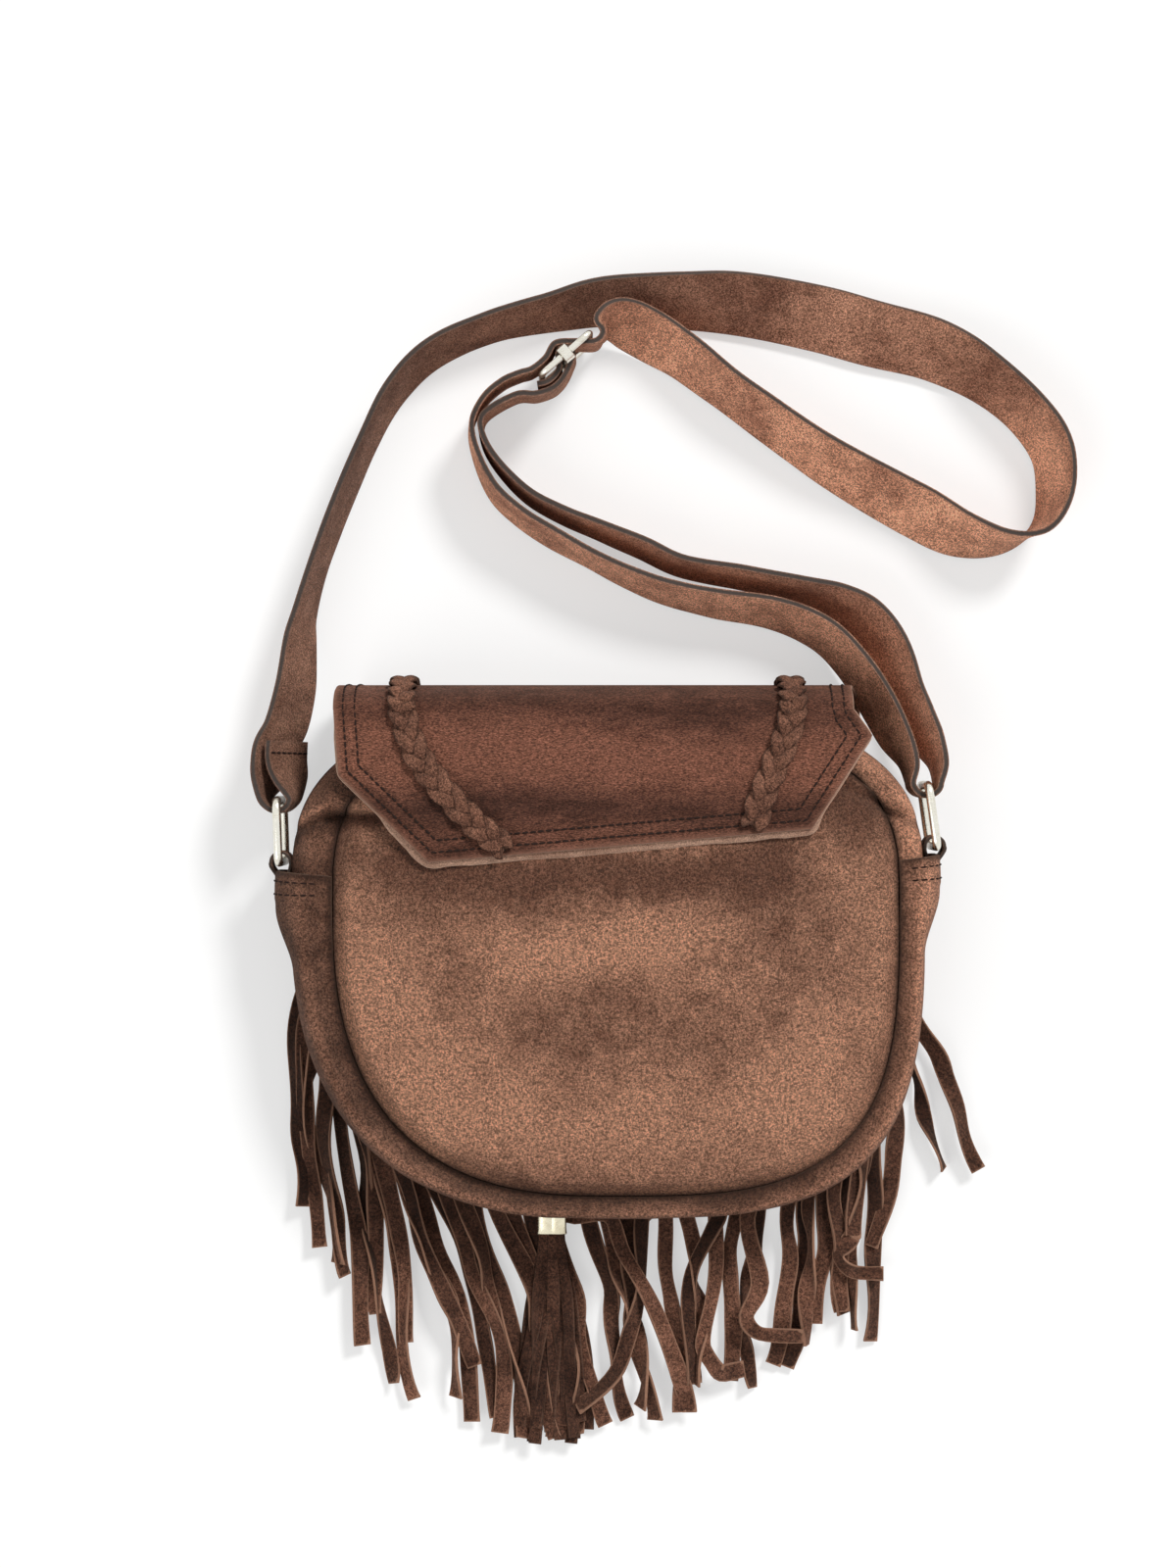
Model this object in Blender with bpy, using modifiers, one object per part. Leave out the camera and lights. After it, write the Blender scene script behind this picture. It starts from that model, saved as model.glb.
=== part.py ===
"""A fringed suede cross-body bag, lying face down with its strap looped above it.

Units are metres and +Z is up. +Y points from the bag's bottom to its top and +X to the right as seen from
above. The origin is on the front of the flap, under the middle of the bag, and the flap's front lies on z = 0.
"""

import math
import random

import bmesh
import bpy
import numpy as np
from mathutils import Matrix, Vector

MM = 0.001

# Suede thicknesses, and the air that is left between two pieces that touch.
SUEDE = 1.4 * MM
FLAP_SUEDE = 1.6 * MM
STRIP_SUEDE = 1.0 * MM
GAP = 0.35 * MM
SEAM_GAP = 0.7 * MM

# Body outline at its widest, measured from the outline's own centre.
OUTLINE_CENTRE_Y = 15 * MM
BODY_HALF_WIDTH = 121 * MM
BODY_ABOVE_CENTRE = 74 * MM
BODY_BELOW_CENTRE = 121 * MM
TOP_SQUARENESS = 3.0
BOTTOM_LEFT_SQUARENESS = 2.6
BOTTOM_RIGHT_SQUARENESS = 3.4

# How far the panel seams lie inside the widest outline.
SEAM_INSET_LEFT = 17 * MM
SEAM_INSET_RIGHT = 11 * MM
SEAM_INSET_TOP = 9 * MM
SEAM_INSET_BOTTOM = 10 * MM

# Heights of the seams and of the panels, measured from the floor.
FRONT_SEAM_Z = 6 * MM
BACK_SEAM_Z = 43 * MM
BACK_CROWN = 13 * MM
BACK_CROWN_POWER = 3.2
FRONT_PANEL_RISE_POWER = 4
BAND_SQUARENESS = 2.6
BAND_END_RISE = 0.35

# Band round the body, with angles about the outline's centre, anticlockwise from +X.
GUSSET_END_LEFT_Y = 26 * MM
GUSSET_END_RIGHT_Y = 32 * MM
STRIP_TUCK = 9 * MM
GUSSET_END_FLAT = 13 * MM
GUSSET_END_FADE = 24 * MM
STRIP_EDGE = 0.60
TAPE_EDGE = 0.64
TAPE_THICKNESS = 0.6 * MM
TAPE_CLEARANCE = 0.77 * MM
COIL_WIDTH = 3.0 * MM
COIL_THICKNESS = 2.0 * MM
COIL_PROUD = 0.4 * MM
BACK_GRID = (16, 14)
FRONT_GRID = (14, 12)
GUSSET_GRID = (56, 6)
ZIP_STRIP_GRID = (34, 3)
TAPE_GRID = (30, 1)
COIL_GRID = (36, 1)

# Rings, their tabs and the strap's ends.
RING_WIRE = 3.3 * MM
RING_HEIGHT = 23.5 * MM
RING_CORNER = 3.5 * MM
RING_SIDE_ROOM = 0.8 * MM
RING_LEAN_LEFT = 2.0
RING_LEAN_RIGHT = 8.0
TAB_WIDTH = 14 * MM
TAB_WALL = 1.1 * MM
TAB_TAIL = 12 * MM
TAB_CLEARANCE = 0.4 * MM
TAB_STEP = 0.85 * MM
TAB_ROOM = 1.7 * MM

# Strap and its slider.
STRAP_WIDTH = 26 * MM
STRAP_THICKNESS = 2.2 * MM
STRAP_END_LOOP = 5.4 * MM
STRAP_RAIL_ROOM = 0.6 * MM
SLIDER_WIRE = 2.6 * MM
SLIDER_LENGTH = 24 * MM
SLIDER_MID_X = -16 * MM
SLIDER_MID_Y = 223 * MM
SLIDER_ANGLE = 41.0
SLIDER_SIDE_ROOM = 1.8 * MM
SLIDER_LIFT = 6.2 * MM
SLIDER_CORNER = 3 * MM
SLIDER_CURL_CLEARANCE = 0.3 * MM
SLIDER_CURL_WALL = 0.9 * MM
SLIDER_CURL_LENGTH = 3.6 * MM
FLOOR_GAP = 0.3 * MM

# Flap: corners of its back part, and the U of its front part.
FLAP_BACK_EDGE = ((-67, 30.6), (76, 43))
FLAP_CHAMFER_TOP = ((-101, 63), (99, 78))
FLAP_SHOULDER_X = (-103, 92)
FLAP_FOLD_INSET = 1 * MM
FLAP_FOLD_DEPTH = 9.5 * MM
FLAP_FRONT_HALF_WIDTH = 98 * MM
FLAP_FRONT_CENTRE_Y = 10 * MM
FLAP_FRONT_SHORT = 11 * MM
FLAP_FRONT_SQUARENESS = 2.3
FLAP_FRONT_LAST = math.radians(80)
FLAP_STAND_OFF = 1.16
FLAP_SETTLE = 0.9
FLAP_COLUMNS = 18
FLAP_ROWS = (5, 6, 8)

# Plaits.
BRAID_REACH = 3.9 * MM
BRAID_RISE = 1.15 * MM
BRAID_STRIP_WIDTH = 3.0 * MM
BRAID_STRIP_THICKNESS = 1.0 * MM
BRAID_PERIOD = 45 * MM
BRAID_LEFT_ROUTE = ((-38, -52), (-48.5, -44), (-62, -30), (-72, -16), (-77.5, 0))
BRAID_RIGHT_ROUTE = ((54.5, -44), (57, -34), (62, -22), (67, -10), (69.5, 0))
BRAID_FOLD_TURN = 135.0
BRAID_FOLD_STRETCH = 2.1
BRAID_COLUMNS = 34

# Fringe and tassel.
FRINGE_COUNT = 44
FRINGE_START = 187.0
FRINGE_END = 349.0
FRINGE_HEADER = 9 * MM
FRINGE_CUT = 0.45 * MM
FRINGE_LIP = 2.5 * MM
FRINGE_SEGMENTS = 7
FRINGE_SWAY = 2.8 * MM
FRINGE_DROP = 84 * MM
FRINGE_TIP_RISE = 66 * MM
FRINGE_TIP_RISE_POWER = 4
FRINGE_TIP_HALF_WIDTH = 112 * MM
FRINGE_TIP_MIDDLE_X = -10 * MM
FRINGE_TIP_JITTER = 5 * MM
FRINGE_ROOT_REACH = 16 * MM
FRINGE_HANG = 0.75
FRINGE_FALL = (0.1, 0.34)
FRINGE_EDGE_SAMPLES = 400
FRINGE_STRAYS = ((0.97, 141 * MM, -90 * MM), (0.94, 128 * MM, -94 * MM))
FRINGE_SEED = 7
TASSEL_X = -21.5 * MM
CAP_WIDTH = 10.5 * MM
CAP_HEIGHT = 5.6 * MM
CAP_LENGTH = 11 * MM
CAP_WALL = 0.6 * MM
CAP_TUCK = 2.5 * MM
CAP_Z = 3.2 * MM
TASSEL_LENGTH = 84 * MM
TASSEL_LAYERS = 3
TASSEL_COLUMNS = 3
TASSEL_GRID = (8, 1)
TASSEL_LAYER_PITCH = 1.3 * MM
TASSEL_LAYER_STEP = 3 * MM
TASSEL_LAYER_SHIFT = 2.2 * MM
TASSEL_SPREAD = 7.5 * MM
TASSEL_SPREAD_GAIN = 1 * MM
TASSEL_ROOT_PITCH = 1.5 * MM
TASSEL_ROOT_TUCK = 1.5 * MM
TASSEL_ROOT_WIDTH = 1.74 * MM
TASSEL_STRIP_WIDTH = 3.35 * MM
TASSEL_SWAY = 0.5 * MM
TASSEL_ROLL_TUCK = 5 * MM
TASSEL_ROLL_SHORT = 0.5 * MM
THONG_WIDTH = 3.6 * MM
THONG_START = 6 * MM
THONG_TUCK = 4 * MM
THONG_CLIMB = (0.4, 0.9)
THONG_COLUMNS = 6

# Zip slider.
ZIP_SLIDER_X = -38 * MM
ZIP_SLIDER_LENGTH = 13 * MM
ZIP_PLATE = 1.2 * MM
ZIP_PULL_LENGTH = 21 * MM
ZIP_PULL_WIDTH = 7 * MM
ZIP_PIN = 1.4 * MM
ZIP_PIN_FROM_END = 4 * MM
ZIP_PIN_RISE = 1.7 * MM
ZIP_SIDE_ROOM = 0.3 * MM
ZIP_FLANGE_REACH = 1.2 * MM
ZIP_POST_GAP = 1.9 * MM
ZIP_POST_WALL = 1 * MM
ZIP_POST_HALF_WIDTH = 1.2 * MM
ZIP_EYE_RADIUS = 1.5 * MM
ZIP_EYE_DEPTH = 3 * MM
ZIP_ARM_START = 1.2 * MM
ZIP_ARM_END = 6 * MM
ZIP_PLATE_START = 5 * MM
ZIP_PULL_THICKNESS = 1.2 * MM

# Plain finishes: name, colour, roughness and metal.
BODY_FINISH = ("brown suede", (0.19, 0.085, 0.048), 0.95, 0.0)
FLAP_FINISH = ("flap suede", (0.15, 0.062, 0.036), 0.9, 0.0)
FRINGE_FINISH = ("fringe suede", (0.09, 0.037, 0.02), 0.95, 0.0)
STRAP_FINISH = ("strap suede", (0.26, 0.125, 0.075), 0.95, 0.0)
TAPE_FINISH = ("zip tape", (0.05, 0.025, 0.016), 0.9, 0.0)
METAL_FINISH = ("pale nickel", (0.72, 0.7, 0.6), 0.25, 1.0)

BAND_MID_Z = (FRONT_SEAM_Z + BACK_SEAM_Z) / 2
BAND_HALF_HEIGHT = (BACK_SEAM_Z - FRONT_SEAM_Z) / 2
TAB_TAIL_THICKNESS = 2 * TAB_WALL
GUSSET_END_RAISE = GAP + TAB_TAIL_THICKNESS + TAB_ROOM + SUEDE
TAB_HOLE = RING_WIRE / 2 + TAB_CLEARANCE
RING_BAR_X = BODY_HALF_WIDTH + GAP + TAB_HOLE + TAB_WALL
RING_BAR_LEFT_Y = GUSSET_END_LEFT_Y + TAB_HOLE + TAB_WALL + TAB_STEP
RING_BAR_RIGHT_Y = GUSSET_END_RIGHT_Y + TAB_HOLE + TAB_WALL + TAB_STEP
FRONT_PANEL_Z = FLAP_SUEDE + GAP
HEADER_Z = FLAP_SUEDE + GAP
FLAP_FOLD_START_Y = OUTLINE_CENTRE_Y + BODY_ABOVE_CENTRE - FLAP_FOLD_INSET
BODY_BOTTOM_Y = OUTLINE_CENTRE_Y - BODY_BELOW_CENTRE
CAP_TOP_Y = BODY_BOTTOM_Y + CAP_TUCK
FLAP_FRONT_DEPTH = FLAP_FRONT_CENTRE_Y - BODY_BOTTOM_Y - FLAP_FRONT_SHORT
FLAP_BOTTOM_Y = FLAP_FRONT_CENTRE_Y - FLAP_FRONT_DEPTH
FRINGE_TIP_Y = BODY_BOTTOM_Y - FRINGE_DROP
STRAP_RING_LIFT = BAND_MID_Z - STRAP_WIDTH / 2 - FLOOR_GAP


def clear_scene():
    """Removes every object and leftover block of an earlier run."""
    for thing in list(bpy.data.objects):
        bpy.data.objects.remove(thing, do_unlink=True)
    for collection in list(bpy.data.collections):
        bpy.data.collections.remove(collection)
    for block in (bpy.data.meshes, bpy.data.curves, bpy.data.materials):
        for item in list(block):
            block.remove(item)


def collection(name):
    """A new collection under the scene."""
    made = bpy.data.collections.new(name)
    bpy.context.scene.collection.children.link(made)
    return made


def material(name, colour, roughness, metallic):
    """A plain finish with one colour."""
    made = bpy.data.materials.new(name)
    made.use_nodes = True
    shader = made.node_tree.nodes["Principled BSDF"]
    shader.inputs["Base Color"].default_value = (*colour, 1.0)
    shader.inputs["Roughness"].default_value = roughness
    shader.inputs["Metallic"].default_value = metallic
    return made


def smooth_step(value, start, end):
    """0 before start, 1 after end, and a smooth rise between."""
    share = min(max((value - start) / (end - start), 0.0), 1.0)
    return share * share * (3 - 2 * share)


def through(points, share):
    """The point at a share of the way along a smooth curve through all the given points."""
    points = np.asarray(points, float)
    place = min(max(share, 0.0), 1.0) * (len(points) - 1)
    index = min(int(place), len(points) - 2)
    t = place - index
    before = points[max(index - 1, 0)]
    start, end = points[index], points[index + 1]
    after = points[min(index + 2, len(points) - 1)]
    return 0.5 * (
        2 * start
        + (end - before) * t
        + (2 * before - 5 * start + 4 * end - after) * t**2
        + (3 * start - before - 3 * end + after) * t**3
    )


def outline_radius(angle, right, left, top, bottom):
    """Distance from the outline's centre to a rounded outline with the given reach each way."""
    c, s = math.cos(angle), math.sin(angle)
    width = right if c >= 0 else left
    height = top if s >= 0 else bottom
    power = TOP_SQUARENESS
    if s < 0:
        power = BOTTOM_RIGHT_SQUARENESS if c >= 0 else BOTTOM_LEFT_SQUARENESS
    return (abs(c / width) ** power + abs(s / height) ** power) ** (-1 / power)


def widest_radius(angle):
    """The body's outline at the middle of its band."""
    return outline_radius(
        angle, BODY_HALF_WIDTH, BODY_HALF_WIDTH, BODY_ABOVE_CENTRE, BODY_BELOW_CENTRE
    )


def seam_radius(angle):
    """The line where a panel meets the band."""
    return outline_radius(
        angle,
        BODY_HALF_WIDTH - SEAM_INSET_RIGHT,
        BODY_HALF_WIDTH - SEAM_INSET_LEFT,
        BODY_ABOVE_CENTRE - SEAM_INSET_TOP,
        BODY_BELOW_CENTRE - SEAM_INSET_BOTTOM,
    )


def seam_share(x, y):
    """How far a point lies from the outline's centre, as a share of the seam's distance there."""
    angle = math.atan2(y - OUTLINE_CENTRE_Y, x)
    return math.hypot(x, y - OUTLINE_CENTRE_Y) / seam_radius(angle)


def back_height(x, y):
    """Height of the back panel's outer face."""
    share = min(seam_share(x, y), 1.0)
    return BACK_SEAM_Z + BACK_CROWN * (1 - share**BACK_CROWN_POWER)


def flap_height(x, y):
    """Height of the flap's outer face where it lies over the back."""
    share = seam_share(x, y) / FLAP_STAND_OFF
    settle = math.exp(-FLAP_SETTLE * share**BACK_CROWN_POWER)
    return BACK_SEAM_Z + BACK_CROWN * settle + GAP + FLAP_SUEDE


def band_point(angle, across, offset=0.0):
    """A point of the band: across is 0 at the front seam and 1 at the back seam, offset is outward."""
    turn = (across - 0.5) * math.pi
    rise = math.sin(turn)
    half = BAND_HALF_HEIGHT + offset * (BAND_END_RISE if offset > 0 else 1)
    height = math.copysign(abs(rise) ** (2 / BAND_SQUARENESS), rise) * half
    inner, outer = seam_radius(angle) + SEAM_GAP, widest_radius(angle) + offset
    radius = inner + (outer - inner) * max(math.cos(turn), 0.0) ** (2 / BAND_SQUARENESS)
    return Vector(
        (
            radius * math.cos(angle),
            OUTLINE_CENTRE_Y + radius * math.sin(angle),
            BAND_MID_Z + height,
        )
    )


def band_angle(y, left):
    """The angle at which the widest outline reaches a height y on one side."""
    rise = math.atan2(y - OUTLINE_CENTRE_Y, BODY_HALF_WIDTH)
    return math.pi - rise if left else rise


def sheet(name, counts, place, thickness, finish, home, centred=False):
    """A sheet of leather: a flat grid laid into place by a function, then given its thickness."""
    mesh = bpy.data.meshes.new(name)
    grid = bmesh.new()
    bmesh.ops.create_grid(grid, x_segments=counts[0], y_segments=counts[1], size=0.5)
    for vertex in grid.verts:
        vertex.co = place(vertex.co.x + 0.5, vertex.co.y + 0.5)
    grid.to_mesh(mesh)
    grid.free()
    thing = bpy.data.objects.new(name, mesh)
    wall = thing.modifiers.new("Thickness", "SOLIDIFY")
    wall.thickness = thickness
    wall.offset = 0.0 if centred else -1.0
    mesh.shade_smooth()
    return dress(thing, finish, home)


def dress(thing, finish, home):
    """Gives an object its finish and its collection."""
    thing.data.materials.append(finish)
    home.objects.link(thing)
    return thing


def cylinder(name, radius, depth, centre, axis, sides=20):
    """A capped cylinder with its axis along x, y or z."""
    mesh = bpy.data.meshes.new(name)
    shape = bmesh.new()
    bmesh.ops.create_cone(
        shape, cap_ends=True, segments=sides, radius1=radius, radius2=radius, depth=depth
    )
    turn = {"x": Matrix.Rotation(math.pi / 2, 4, "Y"), "y": Matrix.Rotation(math.pi / 2, 4, "X")}
    shape.transform(Matrix.Translation(centre) @ turn.get(axis, Matrix.Identity(4)))
    shape.to_mesh(mesh)
    shape.free()
    return bpy.data.objects.new(name, mesh)


def block(name, low, high):
    """A box between two corners."""
    mesh = bpy.data.meshes.new(name)
    shape = bmesh.new()
    bmesh.ops.create_cube(shape, size=1.0)
    low, high = Vector(low), Vector(high)
    for vertex in shape.verts:
        vertex.co = Vector(
            (low + high)[i] / 2 + vertex.co[i] * (high - low)[i] for i in range(3)
        )
    shape.to_mesh(mesh)
    shape.free()
    return bpy.data.objects.new(name, mesh)


def combine(thing, other, operation, cutters):
    """Joins another shape to an object, or cuts it out, and keeps the other as a hidden guide."""
    cutters.objects.link(other)
    other.hide_render = True
    other.display_type = "WIRE"
    step = thing.modifiers.new(other.name, "BOOLEAN")
    step.operation = operation
    step.solver = "EXACT"
    step.object = other
    return thing


def centre_origin(thing, point):
    """Moves an object's origin to a point and keeps its shape where it is."""
    thing.data.transform(Matrix.Translation(-Vector(point)))
    thing.location = point


def disc(u, v):
    """Turns a square's coordinates into a share of the radius and an angle, with even quads."""
    x, y = 2 * u - 1, 2 * v - 1
    share = max(abs(x), abs(y))
    if share == 0:
        return 0.0, 0.0
    if abs(x) >= abs(y):
        angle = math.pi / 4 * y / x + (0 if x > 0 else math.pi)
    else:
        angle = math.pi / 2 - math.pi / 4 * x / y + (0 if y > 0 else math.pi)
    return share, angle


def build_panels(home, suede):
    """The crowned back panel, and the front panel that lies on the flap."""

    def back(u, v):
        share, angle = disc(u, v)
        radius = share * seam_radius(angle)
        x, y = radius * math.cos(angle), OUTLINE_CENTRE_Y + radius * math.sin(angle)
        return Vector((x, y, back_height(x, y)))

    def front(u, v):
        share, turned = disc(u, v)
        angle = math.pi - turned
        radius = share * seam_radius(angle)
        x, y = radius * math.cos(angle), OUTLINE_CENTRE_Y + radius * math.sin(angle)
        rise = (FRONT_SEAM_Z - FRONT_PANEL_Z) * share**FRONT_PANEL_RISE_POWER
        return Vector((x, y, FRONT_PANEL_Z + rise))

    sheet("back_panel", BACK_GRID, back, SUEDE, suede, home)
    sheet("front_panel", FRONT_GRID, front, SUEDE, suede, home)


def build_band(home, suede, tape, coil):
    """The bottom gusset, the two zip strips, the tapes and the coils."""
    left_end = band_angle(GUSSET_END_LEFT_Y, True)
    right_end = band_angle(GUSSET_END_RIGHT_Y, False) + 2 * math.pi

    def gusset(u, v):
        angle = left_end + (right_end - left_end) * u
        from_end = min(angle - left_end, right_end - angle) * BODY_HALF_WIDTH
        fade = smooth_step(from_end, GUSSET_END_FLAT, GUSSET_END_FLAT + GUSSET_END_FADE)
        return band_point(angle, v, GUSSET_END_RAISE * (1 - fade))

    tuck = STRIP_TUCK / BODY_HALF_WIDTH
    strip_start, strip_end = right_end - 2 * math.pi - tuck, left_end + tuck

    def strip(low, high, offset, inset=0.0):
        def place(u, v):
            angle = strip_start + inset + (strip_end - strip_start - 2 * inset) * u
            return band_point(angle, low + (high - low) * v, offset)

        return place

    def coil_bar(side):
        near = side * GAP / 2 - (COIL_WIDTH if side < 0 else 0)

        def place(u, v):
            angle = strip_start + 2 * tuck + (strip_end - strip_start - 4 * tuck) * u
            point = band_point(angle, 0.5, COIL_PROUD)
            point.z = BAND_MID_Z + near + COIL_WIDTH * v
            return point

        return place

    sheet("bottom_gusset", GUSSET_GRID, gusset, SUEDE, suede, home)
    sheet("zip_strip_front", ZIP_STRIP_GRID, strip(0.0, 1 - STRIP_EDGE, 0.0), SUEDE, suede, home)
    sheet("zip_strip_back", ZIP_STRIP_GRID, strip(STRIP_EDGE, 1.0, 0.0), SUEDE, suede, home)
    under = -(SUEDE + TAPE_CLEARANCE)
    middle = GAP / (BAND_HALF_HEIGHT * math.pi)
    front_tape = strip(1 - TAPE_EDGE, 0.5 - middle, under, 2 * tuck)
    back_tape = strip(0.5 + middle, TAPE_EDGE, under, 2 * tuck)
    sheet("zip_tape_front", TAPE_GRID, front_tape, TAPE_THICKNESS, tape, home)
    sheet("zip_tape_back", TAPE_GRID, back_tape, TAPE_THICKNESS, tape, home)
    sheet("zip_coil_front", COIL_GRID, coil_bar(-1), COIL_THICKNESS - GAP, coil, home)
    sheet("zip_coil_back", COIL_GRID, coil_bar(1), COIL_THICKNESS - GAP, coil, home)


def build_zip_slider(home, cutters, metal):
    """The zip's slider, which hooks over both coils, and its pull."""
    top_y = OUTLINE_CENTRE_Y + BODY_ABOVE_CENTRE
    inner_y = top_y + COIL_PROUD + GAP
    half_z = COIL_WIDTH + GAP + ZIP_SIDE_ROOM
    x0, x1 = ZIP_SLIDER_X, ZIP_SLIDER_X + ZIP_SLIDER_LENGTH
    flange_y = top_y - ZIP_FLANGE_REACH
    slider = block(
        "zip_slider",
        (x0, inner_y, BAND_MID_Z - half_z - ZIP_PLATE),
        (x1, inner_y + ZIP_PLATE, BAND_MID_Z + half_z + ZIP_PLATE),
    )
    for side in (-1, 1):
        edge = sorted((side * half_z, side * (half_z + ZIP_PLATE)))
        flange = block(
            f"zip_slider_flange_{side}",
            (x0, flange_y, BAND_MID_Z + edge[0]),
            (x1, inner_y + ZIP_PLATE / 2, BAND_MID_Z + edge[1]),
        )
        combine(slider, flange, "UNION", cutters)
    pin_x, pin_y = x0 + ZIP_PIN_FROM_END, inner_y + ZIP_PLATE + ZIP_PIN_RISE
    for side in (-1, 1):
        edge = sorted((side * ZIP_POST_GAP, side * (ZIP_POST_GAP + ZIP_POST_WALL)))
        post = block(
            f"zip_slider_post_{side}",
            (pin_x - ZIP_POST_HALF_WIDTH, inner_y + ZIP_PLATE / 2, BAND_MID_Z + edge[0]),
            (pin_x + ZIP_POST_HALF_WIDTH, pin_y + ZIP_POST_WALL, BAND_MID_Z + edge[1]),
        )
        combine(slider, post, "UNION", cutters)
    hinge = (pin_x, pin_y, BAND_MID_Z)
    pin_length = 2 * ZIP_POST_GAP + ZIP_POST_WALL
    pin = cylinder("zip_slider_pin", ZIP_PIN / 2, pin_length, hinge, "z", 12)
    combine(slider, pin, "UNION", cutters)
    dress(slider, metal, home)

    half_pull = ZIP_PULL_THICKNESS / 2
    eye = cylinder("zip_pull", ZIP_EYE_RADIUS, ZIP_EYE_DEPTH, hinge, "z", 16)
    arm = block(
        "zip_pull_arm",
        (pin_x + ZIP_ARM_START, pin_y - half_pull, BAND_MID_Z - ZIP_EYE_DEPTH / 2),
        (pin_x + ZIP_ARM_END, pin_y + half_pull, BAND_MID_Z + ZIP_EYE_DEPTH / 2),
    )
    plate = block(
        "zip_pull_plate",
        (pin_x + ZIP_PLATE_START, pin_y - half_pull, BAND_MID_Z - ZIP_PULL_WIDTH / 2),
        (pin_x + ZIP_PULL_LENGTH, pin_y + half_pull, BAND_MID_Z + ZIP_PULL_WIDTH / 2),
    )
    hole = cylinder("zip_pull_hole", ZIP_PIN / 2 + GAP, 2 * ZIP_EYE_DEPTH, hinge, "z", 16)
    combine(eye, arm, "UNION", cutters)
    combine(eye, plate, "UNION", cutters)
    combine(eye, hole, "DIFFERENCE", cutters)
    centre_origin(dress(eye, metal, home), hinge)


def flap_edge(angle):
    """The U-shaped edge of the flap's front part."""
    power = FLAP_FRONT_SQUARENESS
    c, s = math.cos(angle), math.sin(angle)
    reach = (
        abs(c / FLAP_FRONT_HALF_WIDTH) ** power + abs(s / FLAP_FRONT_DEPTH) ** power
    ) ** (-1 / power)
    return reach * c, FLAP_FRONT_CENTRE_Y + reach * s


def fold_point(x, turn, outward=0.0):
    """A point of the fold over the top: turn is 0 at the back and pi at the front."""
    top = flap_height(x, FLAP_FOLD_START_Y)
    half = top / 2 + outward
    return Vector(
        (
            x,
            FLAP_FOLD_START_Y + (FLAP_FOLD_DEPTH + outward) * math.sin(turn),
            top / 2 + half * math.cos(turn),
        )
    )


def build_flap(home, suede):
    """One piece: back part, fold over the top, and the U-shaped front part that lies on the floor."""
    back_rows, fold_rows, front_rows = FLAP_ROWS
    shoulder = tuple((x, FLAP_FOLD_START_Y / MM) for x in FLAP_SHOULDER_X)
    corners = (FLAP_BACK_EDGE, FLAP_CHAMFER_TOP, shoulder)
    rows = []
    for step in range(back_rows):
        share = step / back_rows * (len(corners) - 1)
        index = min(int(share), len(corners) - 2)
        left, right = (
            Vector(corners[index][side]).lerp(Vector(corners[index + 1][side]), share - index) * MM
            for side in (0, 1)
        )
        rows.append(("back", left, right))
    left, right = (Vector(corners[-1][side]) * MM for side in (0, 1))
    for step in range(fold_rows + 1):
        rows.append(("fold", (left.x, step), (right.x, step)))
    for step in range(front_rows):
        x, y = flap_edge(-FLAP_FRONT_LAST * step / (front_rows - 1))
        rows.append(("front", x, y))

    def place(u, v):
        kind, first, second = rows[round(v * (len(rows) - 1))]
        if kind == "back":
            x = first[0] + (second[0] - first[0]) * u
            y = first[1] + (second[1] - first[1]) * u
            return Vector((x, y, flap_height(x, y)))
        if kind == "fold":
            x = first[0] + (second[0] - first[0]) * u
            return fold_point(x, math.pi * first[1] / fold_rows)
        return Vector((first * (2 * u - 1), second, 0.0))

    sheet("flap", (FLAP_COLUMNS, len(rows) - 1), place, FLAP_SUEDE, suede, home)


def braid_line(route, share, fold_share):
    """A plait's line over the flap: its place, its direction and the way out of the leather."""

    def place(at):
        if at < fold_share:
            x, below = through(route, at / fold_share) * MM
            y = FLAP_FOLD_START_Y + below
            return Vector((x, y, flap_height(x, y)))
        turn = math.radians(BRAID_FOLD_TURN) * (at - fold_share) / (1 - fold_share)
        return fold_point(route[-1][0] * MM, turn)

    step = 0.004
    here = place(share)
    along = (place(min(share + step, 1.0)) - place(max(share - step, 0.0))).normalized()
    if share < fold_share:
        out = Vector((0, 0, 1))
    else:
        turn = math.radians(BRAID_FOLD_TURN) * (share - fold_share) / (1 - fold_share)
        half = flap_height(route[-1][0] * MM, FLAP_FOLD_START_Y) / 2
        out = Vector((0, math.sin(turn) / FLAP_FOLD_DEPTH, math.cos(turn) / half))
    aside = along.cross(out).normalized()
    return here, aside, aside.cross(along).normalized()


def build_braid(name, route, home, suede):
    """Three leather strips plaited over each other, from the flap's edge over the fold."""
    flat = sum(math.dist(a, b) for a, b in zip(route, route[1:])) * MM
    fold = math.radians(BRAID_FOLD_TURN) * FLAP_FOLD_DEPTH * BRAID_FOLD_STRETCH
    fold_share = flat / (flat + fold)
    turns = 2 * math.pi * (flat + fold) / BRAID_PERIOD
    base = GAP + BRAID_RISE + BRAID_STRIP_THICKNESS
    for strand in range(3):

        def place(u, v, phase=strand * 2 * math.pi / 3):
            here, aside, out = braid_line(route, u, fold_share)
            angle = turns * u + phase
            reach = BRAID_REACH * math.sin(angle) + BRAID_STRIP_WIDTH * (0.5 - v)
            return here + aside * reach + out * (base + BRAID_RISE * math.sin(2 * angle))

        strip_name = f"{name}_strand_{strand + 1}"
        sheet(strip_name, (BRAID_COLUMNS, 1), place, BRAID_STRIP_THICKNESS, suede, home)


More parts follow.
